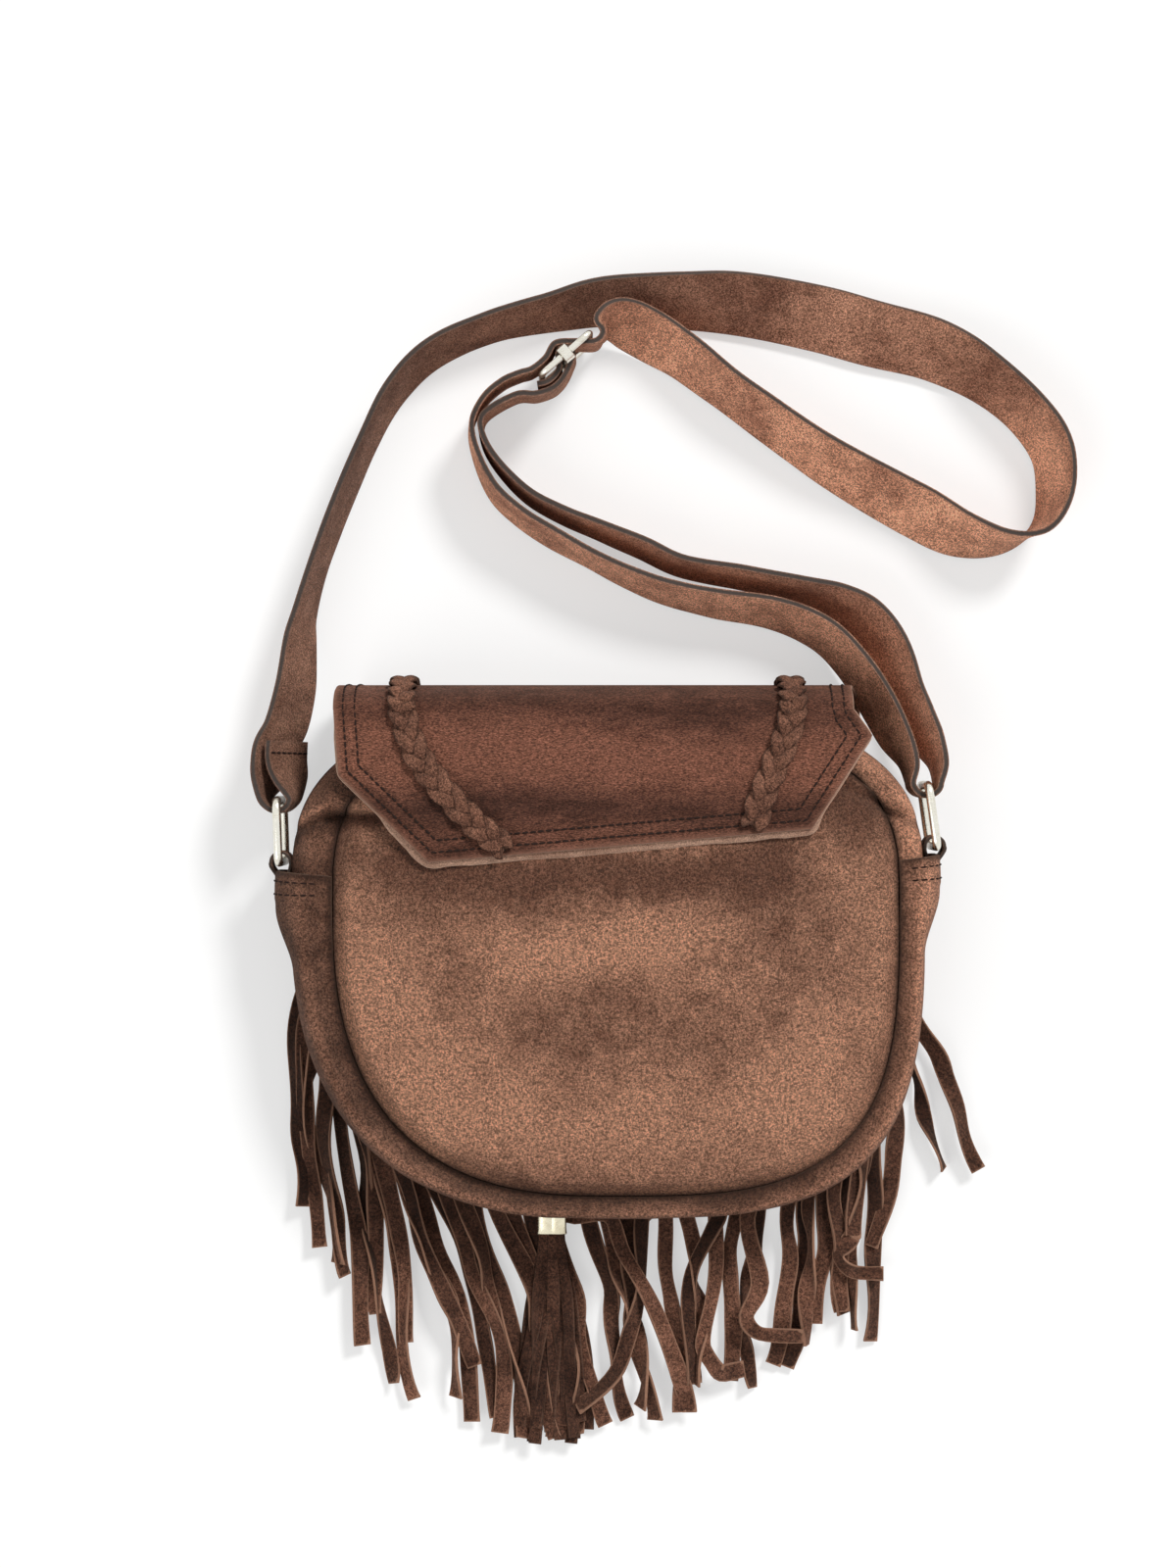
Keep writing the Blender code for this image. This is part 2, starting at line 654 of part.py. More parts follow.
def build_fringe(home, suede):
    """One band cut into strips: a header under the flap's edge, and strips combed down over the floor."""
    jitter = random.Random(FRINGE_SEED)
    start, end = math.radians(FRINGE_START), math.radians(FRINGE_END)
    step = (end - start) / FRINGE_EDGE_SAMPLES
    samples = [start + step * i for i in range(FRINGE_EDGE_SAMPLES + 1)]
    edge = [Vector(flap_edge(a)) for a in samples]
    lengths = [0.0]
    for a, b in zip(edge, edge[1:]):
        lengths.append(lengths[-1] + (b - a).length)
    pitch = lengths[-1] / FRINGE_COUNT

    def edge_at(distance):
        return Vector(
            (
                np.interp(distance, lengths, [p.x for p in edge]),
                np.interp(distance, lengths, [p.y for p in edge]),
            )
        )

    mesh = bmesh.new()
    header_top = HEADER_Z + STRIP_SUEDE
    previous = None
    centre = Vector((0, FLAP_FRONT_CENTRE_Y))
    for index in range(FRINGE_COUNT):
        low = index * pitch + FRINGE_CUT / 2
        high = (index + 1) * pitch - FRINGE_CUT / 2
        roots = [edge_at(low), edge_at(high)]
        outward = [(p - centre).normalized() for p in roots]
        inner = [p - o * FRINGE_HEADER for p, o in zip(roots, outward)]
        lip = [p - o * FRINGE_LIP for p, o in zip(roots, outward)]
        corner = [mesh.verts.new((p.x, p.y, header_top)) for p in inner]
        lips = [mesh.verts.new((p.x, p.y, header_top)) for p in lip]
        mesh.faces.new((corner[0], lips[0], lips[1], corner[1]))
        if previous:
            mesh.faces.new((previous[0], previous[1], lips[0], corner[0]))
        previous = (corner[1], lips[1])
        share = (index + 0.5) / FRINGE_COUNT
        root = (roots[0] + roots[1]) / 2
        tip = fringe_tip(share, jitter)
        out = (root - centre).normalized()
        knots = [
            root,
            root + out * FRINGE_ROOT_REACH,
            Vector((tip.x, root.y + (tip.y - root.y) * FRINGE_HANG)),
            tip,
        ]
        wave = jitter.uniform(-FRINGE_SWAY, FRINGE_SWAY)
        layer = FLOOR_GAP + STRIP_SUEDE + (STRIP_SUEDE + GAP) * (index % 2)
        width = (roots[1] - roots[0]).length
        row = lips
        for step in range(1, FRINGE_SEGMENTS + 1):
            at = step / FRINGE_SEGMENTS
            point, along = bezier(knots, at)
            aside = Vector((-along.y, along.x))
            sway = wave * math.sin(2 * math.pi * at) * at
            fall = smooth_step(at, *FRINGE_FALL)
            z = header_top * (1 - fall) + layer * fall
            sides = [point + aside * (sway + width * k) for k in (-0.5, 0.5)]
            pair = [mesh.verts.new((p.x, p.y, z)) for p in sides]
            mesh.faces.new((row[0], pair[0], pair[1], row[1]))
            row = pair
    bmesh.ops.recalc_face_normals(mesh, faces=mesh.faces)
    if mesh.faces[0].normal.z < 0:
        bmesh.ops.reverse_faces(mesh, faces=mesh.faces)
    data = bpy.data.meshes.new("fringe")
    mesh.to_mesh(data)
    mesh.free()
    thing = bpy.data.objects.new("fringe", data)
    wall = thing.modifiers.new("Thickness", "SOLIDIFY")
    wall.thickness = STRIP_SUEDE
    dress(thing, suede, home)


def fringe_tip(share, jitter):
    """Where a strip ends: a rounded sweep below the bag, with two strips strayed out to the right."""
    x = FRINGE_TIP_MIDDLE_X + FRINGE_TIP_HALF_WIDTH * (2 * share - 1)
    rise = FRINGE_TIP_RISE * abs(2 * share - 1) ** FRINGE_TIP_RISE_POWER
    y = FRINGE_TIP_Y + rise + jitter.uniform(-FRINGE_TIP_JITTER, FRINGE_TIP_JITTER)
    for stray_share, stray_x, stray_y in FRINGE_STRAYS:
        if share > stray_share:
            return Vector((stray_x, stray_y))
    return Vector((x, y))


def bezier(knots, t):
    """A point and the unit direction of a cubic curve with four control points."""
    a, b, c, d = knots
    s = 1 - t
    point = a * s**3 + b * 3 * s * s * t + c * 3 * s * t * t + d * t**3
    along = (b - a) * s * s + (c - b) * 2 * s * t + (d - c) * t * t
    return point, along.normalized()


def build_tassel(home, cutters, suede, metal):
    """The crimped cap, the thong it hangs from and the rolled, cut strips it holds."""
    mid_z = CAP_Z + CAP_HEIGHT / 2
    low_y = CAP_TOP_Y - CAP_LENGTH

    def oval(name, grow, y0, y1):
        shape = cylinder(name, 1.0, 1.0, (0, 0, 0), "y", 24)
        size = Matrix.Diagonal(
            (CAP_WIDTH / 2 + grow, abs(y1 - y0), CAP_HEIGHT / 2 + grow, 1)
        )
        shape.data.transform(Matrix.Translation((TASSEL_X, (y0 + y1) / 2, mid_z)) @ size)
        return shape

    cap = oval("tassel_cap", 0.0, CAP_TOP_Y, low_y)
    combine(cap, oval("tassel_cap_bore", -CAP_WALL, CAP_TOP_Y + MM, low_y - MM), "DIFFERENCE", cutters)
    dress(cap, metal, home)

    roll_top, roll_end = CAP_TOP_Y - TASSEL_ROLL_TUCK, low_y + TASSEL_ROLL_SHORT
    strips = oval("tassel_strips", -CAP_WALL - GAP, roll_top, roll_end)
    for layer in range(TASSEL_LAYERS):
        from_middle = layer - (TASSEL_LAYERS - 1) / 2
        z = mid_z + STRIP_SUEDE / 2 + TASSEL_LAYER_PITCH * from_middle
        length = TASSEL_LENGTH - TASSEL_LAYER_STEP * layer
        for column in range(TASSEL_COLUMNS):
            aside = column - (TASSEL_COLUMNS - 1) / 2
            spread = TASSEL_SPREAD + TASSEL_SPREAD_GAIN * layer
            lateral = aside * spread + from_middle * TASSEL_LAYER_SHIFT
            root_x = TASSEL_X + aside * TASSEL_ROOT_PITCH

            def place(u, v, root_x=root_x, lateral=lateral, z=z, layer=layer, length=length):
                gain = (TASSEL_STRIP_WIDTH - TASSEL_ROOT_WIDTH) * smooth_step(u, 0.05, 0.3)
                x = root_x + lateral * smooth_step(u, 0.04, 1.0)
                x += (TASSEL_ROOT_WIDTH + gain) * (v - 0.5)
                sway = TASSEL_SWAY * math.sin(7 * u + layer + 2 * lateral / MM) * u
                return Vector((x + sway, low_y + TASSEL_ROOT_TUCK - length * u, z))

            name = f"tassel_strip_{layer}_{column}"
            guide = sheet(name, TASSEL_GRID, place, STRIP_SUEDE, suede, cutters)
            cutters.objects.unlink(guide)
            combine(strips, guide, "UNION", cutters)
    dress(strips, suede, home)

    def thong(u, v):
        start = FLAP_BOTTOM_Y + THONG_START
        y = start + (CAP_TOP_Y - THONG_TUCK - start) * u
        low, high = HEADER_Z + 2 * STRIP_SUEDE + GAP, mid_z + STRIP_SUEDE / 2
        height = low + (high - low) * smooth_step(u, *THONG_CLIMB)
        return Vector((TASSEL_X + THONG_WIDTH * (v - 0.5), y, height))

    sheet("tassel_thong", (THONG_COLUMNS, 1), thong, STRIP_SUEDE, suede, home)


def ring_frame(left):
    """A ring's bar centre and the direction from its bar to its top rail."""
    side = -1 if left else 1
    bar = Vector((side * RING_BAR_X, RING_BAR_LEFT_Y if left else RING_BAR_RIGHT_Y, BAND_MID_Z))
    lean = math.radians(RING_LEAN_LEFT if left else RING_LEAN_RIGHT)
    return bar, Vector((-math.sin(lean), math.cos(lean), 0))


def loop_curve(name, centre, first, second, first_half, second_half, corner, wire):
    """A closed wire loop: a rounded rectangle in the plane of two directions."""
    points = []
    for quarter, (sx, sy) in enumerate(((1, 1), (-1, 1), (-1, -1), (1, -1))):
        hub_a, hub_b = sx * (first_half - corner), sy * (second_half - corner)
        for step in range(4):
            angle = math.radians(90 * quarter + 30 * step)
            a, b = hub_a + corner * math.cos(angle), hub_b + corner * math.sin(angle)
            points.append(first * a + second * b)
    data = bpy.data.curves.new(name, "CURVE")
    data.dimensions = "3D"
    data.bevel_depth = wire / 2
    data.bevel_resolution = 2
    spline = data.splines.new("POLY")
    spline.points.add(len(points) - 1)
    for target, point in zip(spline.points, points):
        target.co = (*point, 1)
    spline.use_cyclic_u = True
    thing = bpy.data.objects.new(name, data)
    thing.location = centre
    return thing


def build_ring(name, left, home, cutters, suede, metal):
    """A ring that swings on its straight bar, and the folded tab that holds the bar."""
    bar, up = ring_frame(left)
    rise = up * (RING_HEIGHT / 2)
    half_width = STRAP_WIDTH / 2 + RING_WIRE / 2 + RING_SIDE_ROOM
    ring = loop_curve(
        f"ring_{name}", bar, Vector((0, 0, 1)), up, half_width, RING_HEIGHT / 2, RING_CORNER, RING_WIRE
    )
    for point in ring.data.splines[0].points:
        point.co = (*(Vector(point.co[:3]) + rise), 1)
    dress(ring, metal, home)

    tab = cylinder(f"ring_tab_{name}", TAB_HOLE + TAB_WALL, TAB_WIDTH, bar, "z", 24)
    side = -1 if left else 1
    inner = side * (BODY_HALF_WIDTH + GAP)
    outer = inner + side * TAB_TAIL_THICKNESS
    end = (GUSSET_END_LEFT_Y if left else GUSSET_END_RIGHT_Y) - TAB_TAIL
    tail = block(
        f"ring_tab_{name}_tail",
        (min(inner, outer), end, BAND_MID_Z - TAB_WIDTH / 2),
        (max(inner, outer), bar.y - TAB_HOLE, BAND_MID_Z + TAB_WIDTH / 2),
    )
    combine(tab, tail, "UNION", cutters)
    eye = cylinder(f"ring_tab_{name}_eye", TAB_HOLE, 2 * TAB_WIDTH, bar, "z", 24)
    combine(tab, eye, "DIFFERENCE", cutters)
    dress(tab, suede, home)


def slider_place(u, w):
    """A plan point given along and across the strap slider, in millimetres from its middle."""
    angle = math.radians(SLIDER_ANGLE)
    along, across = (math.cos(angle), math.sin(angle)), (-math.sin(angle), math.cos(angle))
    return (
        SLIDER_MID_X / MM + along[0] * u + across[0] * w,
        SLIDER_MID_Y / MM + along[1] * u + across[1] * w,
    )


def end_loop(left, first, last, steps):
    """Knots of the strap where it turns round a ring's top rail, from one angle to another."""
    bar, up = ring_frame(left)
    rail = bar + up * RING_HEIGHT
    slack = STRAP_END_LOOP - STRAP_THICKNESS / 2 - RING_WIRE / 2 - STRAP_RAIL_ROOM
    centre = rail + up * slack
    knots = []
    for step in range(steps + 1):
        angle = math.radians(first + (last - first) * step / steps)
        x = centre.x + STRAP_END_LOOP * math.cos(angle)
        y = centre.y + STRAP_END_LOOP * math.sin(angle)
        knots.append((x / MM, y / MM, STRAP_RING_LIFT / MM, 0))
    return knots


def from_rail(left, offsets):
    """Knots given from the middle of a ring's top rail, in millimetres, with a share of the ring's lift."""
    bar, up = ring_frame(left)
    rail = bar + up * RING_HEIGHT
    lift = STRAP_RING_LIFT / MM
    return [(rail.x / MM + x, rail.y / MM + y, lift * share, lean) for x, y, share, lean in offsets]


def strap_knots():
    """The strap's whole route as (x, y, lift of the lower edge, lean) in millimetres and degrees."""
    slider_lift = (SLIDER_LIFT - FLOOR_GAP) / MM
    knots = from_rail(True, [(8.3, 23.5, 1, 0), (6.8, 15.5, 1, 0)])
    knots += end_loop(True, 0, -180, 6)
    knots += from_rail(True, [(-4.9, 10.5, 1, 2), (-1.2, 19.5, 0.9, 5), (3.1, 28.5, 0.7, 10)])
    knots += [
        (-120, 97, 5, 18), (-118.4, 115.6, 2, 20), (-116.4, 127, 0, 14), (-111, 145.5, 0, 10),
        (-102.6, 168, 0, 10), (-91.4, 194, 0, 12), (-81.3, 212, 0, 15), (-67, 226, 0, 18),
        (-45, 236, 0, 20), (-22.4, 241.5, 0, 24), (0, 246, 0, 30), (29.8, 246.5, 0, 40),
        (52, 245.5, 0, 48), (82, 240, 0, 50), (104, 234, 0, 52), (126.8, 227.5, 0, 46),
        (145.5, 217, 0, 36), (162, 203, 0, 32), (171.6, 188.4, 0, 30), (172.7, 171.6, 0, 22),
        (167, 158.5, 0, 6), (153, 153.3, 0, -14), (136, 156.3, 0, -34), (119.4, 165.2, 0, -42),
        (100.7, 175.3, 0, -40), (82, 186.5, 0, -36), (63.4, 199.5, 0, -32), (44.8, 213, 0, -28),
        (29.8, 224.5, 0, -22), (16, 232, 1, -14),
    ]
    weave = [(24, 1.5), (18, -1.8), (12, -3.4), (6.5, 1.2), (0, 5.9), (-6.5, 1.2), (-12, -3.4), (-18, -4.4)]
    knots += [(*slider_place(u, w), slider_lift, 0) for u, w in weave]
    knots += [
        (-41, 211, 3, 0), (-49.5, 206.5, 1.5, 0), (-54.5, 198, 0, 2), (-52.6, 186, 0, 4),
        (-46, 171.6, 0, 6), (-35.4, 161.2, 0, 8), (-22.4, 152.9, 0, 10), (-7.5, 144.7, 0, 10),
        (7.5, 137.3, 0, 12), (22.4, 131.5, 0, 14), (41, 127.2, 0, 18), (63.4, 123.5, 0, 26),
        (83, 116.5, 1, 28), (97.5, 103.5, 3, 20),
    ]
    knots += from_rail(False, [(-14.8, 29.8, 0.6, 14), (-9.2, 17.3, 0.85, 8)])
    knots += end_loop(False, 180, 360, 6)
    knots += from_rail(False, [(5.2, 14.3, 1, 0), (3.8, 24.3, 0.75, -12), (-0.2, 35.3, 0.45, -26)])
    knots += [
        (115.2, 112, 2, -30),
        (108, 125.5, 1, -26), (97, 132.6, 0, -18), (78.3, 136.6, 0, -14), (52.2, 141, 0, -12),
        (29.8, 145.5, 0, -10), (14.9, 152.5, 0, -10), (0, 158.7, 0, -10), (-14.9, 164.8, 0, -8),
        (-28.5, 172, 0, -6), (-38.5, 182, 0, -4), (-43.6, 192, 1, -2), (-42, 201.5, 2.5, 0),
    ]
    back = [(-19, -10.6), (-13, -10.8), (-9, -8.6), (-5.2, -5.7), (-1.6, -3.9), (1.5, -2.5), (2.8, -0.6)]
    back += [(2.5, 1.3), (1.1, 2.6), (-0.7, 2.75), (-2.3, 1.7), (-3.6, -0.3), (-5.3, -2.4), (-9, -5.3)]
    back += [(-13, -7.4), (-16, -8.0)]
    knots += [(*slider_place(u, w), slider_lift, 0) for u, w in back]
    return knots


def build_strap(home, leather):
    """The long strap: ring, slider, ring again, and back round the slider's bar."""
    knots = strap_knots()
    columns = 2 * (len(knots) - 1)

    def line(share):
        x, y, lift, lean = through(knots, share)
        lean = math.radians(lean)
        thickness = abs(STRAP_THICKNESS / 2 * math.sin(lean))
        z = FLOOR_GAP + lift * MM + STRAP_WIDTH / 2 * math.cos(lean) + thickness
        return Vector((x * MM, y * MM, z)), lean

    def place(u, v):
        step = 0.25 / columns
        here, lean = line(u)
        along = line(min(u + step, 1.0))[0] - line(max(u - step, 0.0))[0]
        along.z = 0
        along.normalize()
        aside = Vector((-along.y, along.x, 0))
        across = Vector((0, 0, 1)) * math.cos(lean) + aside * math.sin(lean)
        return here + across * (STRAP_WIDTH * (v - 0.5))

    sheet("strap", (columns, 1), place, STRAP_THICKNESS, leather, home, centred=True)


def build_strap_slider(home, cutters, metal):
    """The slider's wire frame, and the bar whose ends curl round the frame's end rails."""
    angle = math.radians(SLIDER_ANGLE)
    along = Vector((math.cos(angle), math.sin(angle), 0))
    mid_z = SLIDER_LIFT + STRAP_WIDTH / 2
    centre = Vector((SLIDER_MID_X, SLIDER_MID_Y, mid_z))
    half_tall = STRAP_WIDTH / 2 + SLIDER_SIDE_ROOM + SLIDER_WIRE / 2
    frame = loop_curve(
        "strap_slider_frame", centre, along, Vector((0, 0, 1)),
        SLIDER_LENGTH / 2, half_tall, SLIDER_CORNER, SLIDER_WIRE,
    )
    dress(frame, metal, home)
    hole = SLIDER_WIRE / 2 + SLIDER_CURL_CLEARANCE
    reach = hole + SLIDER_CURL_WALL
    curl_turn = Matrix.Rotation(angle, 4, "Z") @ Matrix.Rotation(math.pi / 2, 4, "Y")
    bar = cylinder("strap_slider_bar", SLIDER_WIRE / 2, 2 * (half_tall - hole), centre, "z", 16)
    for end in (-1, 1):
        place = Matrix.Translation(centre + Vector((0, 0, end * half_tall))) @ curl_turn
        curl = cylinder(f"strap_slider_curl_{end}", reach, SLIDER_CURL_LENGTH, (0, 0, 0), "z", 16)
        curl.data.transform(place)
        combine(bar, curl, "UNION", cutters)
    for end in (-1, 1):
        place = Matrix.Translation(centre + Vector((0, 0, end * half_tall))) @ curl_turn
        eye = cylinder(f"strap_slider_eye_{end}", hole, 3 * SLIDER_CURL_LENGTH, (0, 0, 0), "z", 16)
        eye.data.transform(place)
        combine(bar, eye, "DIFFERENCE", cutters)
    dress(bar, metal, home)


def main():
    """Builds the whole bag."""
    clear_scene()
    home = collection("fringed_suede_bag")
    cutters = collection("cutters")
    suede = material(*BODY_FINISH)
    flap_suede = material(*FLAP_FINISH)
    fringe_suede = material(*FRINGE_FINISH)
    strap_suede = material(*STRAP_FINISH)
    tape = material(*TAPE_FINISH)
    nickel = material(*METAL_FINISH)

    build_panels(home, suede)
    build_band(home, suede, tape, nickel)
    build_zip_slider(home, cutters, nickel)
    build_flap(home, flap_suede)
    build_braid("braid_left", BRAID_LEFT_ROUTE, home, suede)
    build_braid("braid_right", BRAID_RIGHT_ROUTE, home, suede)
    build_fringe(home, fringe_suede)
    build_tassel(home, cutters, fringe_suede, nickel)
    build_ring("left", True, home, cutters, suede, nickel)
    build_ring("right", False, home, cutters, suede, nickel)
    build_strap(home, strap_suede)
    build_strap_slider(home, cutters, nickel)


main()
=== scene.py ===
"""Visual model of a fringed suede shoulder bag that lies face down with its strap looped above it."""

import logging
import math
import random
from dataclasses import dataclass, field
from enum import Enum
from typing import Callable, Iterable, Sequence

import bpy
import numpy as np
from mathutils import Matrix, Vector, noise


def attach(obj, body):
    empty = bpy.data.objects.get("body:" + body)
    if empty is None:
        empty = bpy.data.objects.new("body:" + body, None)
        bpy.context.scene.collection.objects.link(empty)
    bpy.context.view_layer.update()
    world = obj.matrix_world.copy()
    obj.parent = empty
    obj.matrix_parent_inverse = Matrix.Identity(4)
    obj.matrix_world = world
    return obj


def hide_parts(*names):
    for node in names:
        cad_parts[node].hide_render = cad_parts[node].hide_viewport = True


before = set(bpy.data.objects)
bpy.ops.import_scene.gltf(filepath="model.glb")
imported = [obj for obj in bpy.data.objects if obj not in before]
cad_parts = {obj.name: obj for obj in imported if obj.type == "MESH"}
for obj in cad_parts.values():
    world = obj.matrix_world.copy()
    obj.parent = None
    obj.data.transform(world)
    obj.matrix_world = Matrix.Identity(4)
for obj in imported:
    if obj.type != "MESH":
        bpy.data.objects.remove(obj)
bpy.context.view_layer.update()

MM = 0.001
SHARP_ANGLE = math.radians(50)
LOG = logging.getLogger("fringed_bag")

Colour = tuple[float, float, float]
Plan = tuple[float, float]
Place = Callable[[float, float], Sequence[float]]


def smooth_step(value: float, start: float, end: float) -> float:
    """A smooth rise from 0 at start to 1 at end."""
    share = min(max((value - start) / (end - start), 0.0), 1.0)
    return share * share * (3 - 2 * share)


def through(points: Sequence[Sequence[float]], share: float) -> np.ndarray:
    """Finds a point on a smooth curve through all the given points.

    Args:
        points: The curve's knots, each a row of any length.
        share: How far along the curve, from 0 to 1.

    Returns:
        The curve's row at that share.
    """
    rows = np.asarray(points, float)
    place = min(max(share, 0.0), 1.0) * (len(rows) - 1)
    index = min(int(place), len(rows) - 2)
    t = place - index
    before, start = rows[max(index - 1, 0)], rows[index]
    end, after = rows[index + 1], rows[min(index + 2, len(rows) - 1)]
    return 0.5 * (
        2 * start
        + (end - before) * t
        + (2 * before - 5 * start + 4 * end - after) * t**2
        + (3 * start - before - 3 * end + after) * t**3
    )


def ripple(point: Sequence[float], size: float, seed: float) -> float:
    """Soft seeded noise from about -1 to 1 at a point, with waves about as long as size."""
    x, y, z = point
    return noise.noise(Vector((x / size + seed, y / size - seed, z / size + 3 * seed)))


def inset(path: Sequence[Plan], distance: float) -> list[Plan]:
    """Moves an open path to its left by a distance, with mitred corners.

    Args:
        path: Corners of the path in plan.
        distance: How far to move each segment.

    Returns:
        The moved corners.
    """
    rows = [Vector(p) for p in path]
    sides = []
    for a, b in zip(rows, rows[1:]):
        along = (b - a).normalized()
        sides.append(Vector((-along.y, along.x)))
    moved = [rows[0] + sides[0] * distance]
    for corner, one, two in zip(rows[1:-1], sides, sides[1:]):
        middle = (one + two).normalized()
        moved.append(corner + middle * (distance / max(middle.dot(one), 0.3)))
    moved.append(rows[-1] + sides[-1] * distance)
    return [(p.x, p.y) for p in moved]


def spaced(path: Sequence[Sequence[float]], step: float) -> list[list[float]]:
    """Points about a step apart along straight segments between the given corners."""
    rows = [np.asarray(p, float) for p in path]
    found = [list(rows[0])]
    for a, b in zip(rows, rows[1:]):
        count = max(1, round(float(np.linalg.norm(b - a)) / step))
        found += [list(a + (b - a) * i / count) for i in range(1, count + 1)]
    return found


@dataclass(frozen=True)
class BagForm:
    """The bag's outline and heights, in metres, as the solid model has them."""

    centre_y: float = 15 * MM
    half_width: float = 121 * MM
    above: float = 74 * MM
    below: float = 121 * MM
    powers: tuple[float, float, float] = (3.0, 2.6, 3.4)
    seam_insets: tuple[float, float, float, float] = (17 * MM, 11 * MM, 9 * MM, 10 * MM)
    front_seam_z: float = 6 * MM
    back_seam_z: float = 43 * MM
    crown: float = 13 * MM
    crown_power: float = 3.2
    seam_gap: float = 0.7 * MM
    band_power: float = 2.6
    band_end_rise: float = 0.35
    gap: float = 0.35 * MM
    suede: float = 1.4 * MM
    flap_suede: float = 1.6 * MM
    fold_start: float = 88 * MM
    fold_depth: float = 9.5 * MM
    stand_off: float = 1.16
    settle: float = 0.9

    def radius(self, angle: float, right: float, left: float, top: float, bottom: float) -> float:
        """Distance from the centre to a rounded outline with the given reach each way."""
        c, s = math.cos(angle), math.sin(angle)
        width = right if c >= 0 else left
        height = top if s >= 0 else bottom
        power = self.powers[0]
        if s < 0:
            power = self.powers[2] if c >= 0 else self.powers[1]
        return (abs(c / width) ** power + abs(s / height) ** power) ** (-1 / power)

    def widest(self, angle: float) -> float:
        """The outline at the middle of the band."""
        return self.radius(angle, self.half_width, self.half_width, self.above, self.below)

    def seam(self, angle: float) -> float:
        """The line where a panel meets the band."""
        left, right, top, bottom = self.seam_insets
        half = self.half_width
        return self.radius(angle, half - right, half - left, self.above - top, self.below - bottom)

    def seam_share(self, x: float, y: float) -> float:
        """How far a point lies from the centre, as a share of the seam's distance."""
        angle = math.atan2(y - self.centre_y, x)
        return math.hypot(x, y - self.centre_y) / self.seam(angle)

    def flap_height(self, x: float, y: float) -> float:
        """Height of the flap's outer face where it lies over the back."""
        share = self.seam_share(x, y) / self.stand_off
        settle = math.exp(-self.settle * share**self.crown_power)
        return self.back_seam_z + self.crown * settle + self.gap + self.flap_suede

    @property
    def mid_z(self) -> float:
        """Height of the band's middle."""
        return (self.front_seam_z + self.back_seam_z) / 2

    @property
    def half_height(self) -> float:
        """Half the height between the two seams."""
        return (self.back_seam_z - self.front_seam_z) / 2

    def band_point(self, angle: float, across: float, offset: float = 0.0) -> Vector:
        """Finds a point of the band between the two seams.

        Args:
            angle: Direction from the outline's centre, anticlockwise from +X.
            across: 0 at the front seam and 1 at the back seam.
            offset: How far outside the band the point lies.

        Returns:
            The point.
        """
        turn = (across - 0.5) * math.pi
        rise = math.sin(turn)
        half = self.half_height + offset * (self.band_end_rise if offset > 0 else 1)
        height = math.copysign(abs(rise) ** (2 / self.band_power), rise) * half
        inner, outer = self.seam(angle) + self.seam_gap, self.widest(angle) + offset
        bulge = max(math.cos(turn), 0.0) ** (2 / self.band_power)
        radius = inner + (outer - inner) * bulge
        y = self.centre_y + radius * math.sin(angle)
        return Vector((radius * math.cos(angle), y, self.mid_z + height))

    def band_angle(self, y: float, left: bool) -> float:
        """The angle at which the widest outline reaches a height y on one side."""
        rise = math.atan2(y - self.centre_y, self.half_width)
        return math.pi - rise if left else rise

    def fold_point(self, x: float, turn: float, outward: float = 0.0) -> Vector:
        """A point of the flap's fold: turn is 0 at the back and pi at the front."""
        top = self.flap_height(x, self.fold_start)
        y = self.fold_start + (self.fold_depth + outward) * math.sin(turn)
        return Vector((x, y, top / 2 + (top / 2 + outward) * math.cos(turn)))


FORM = BagForm()


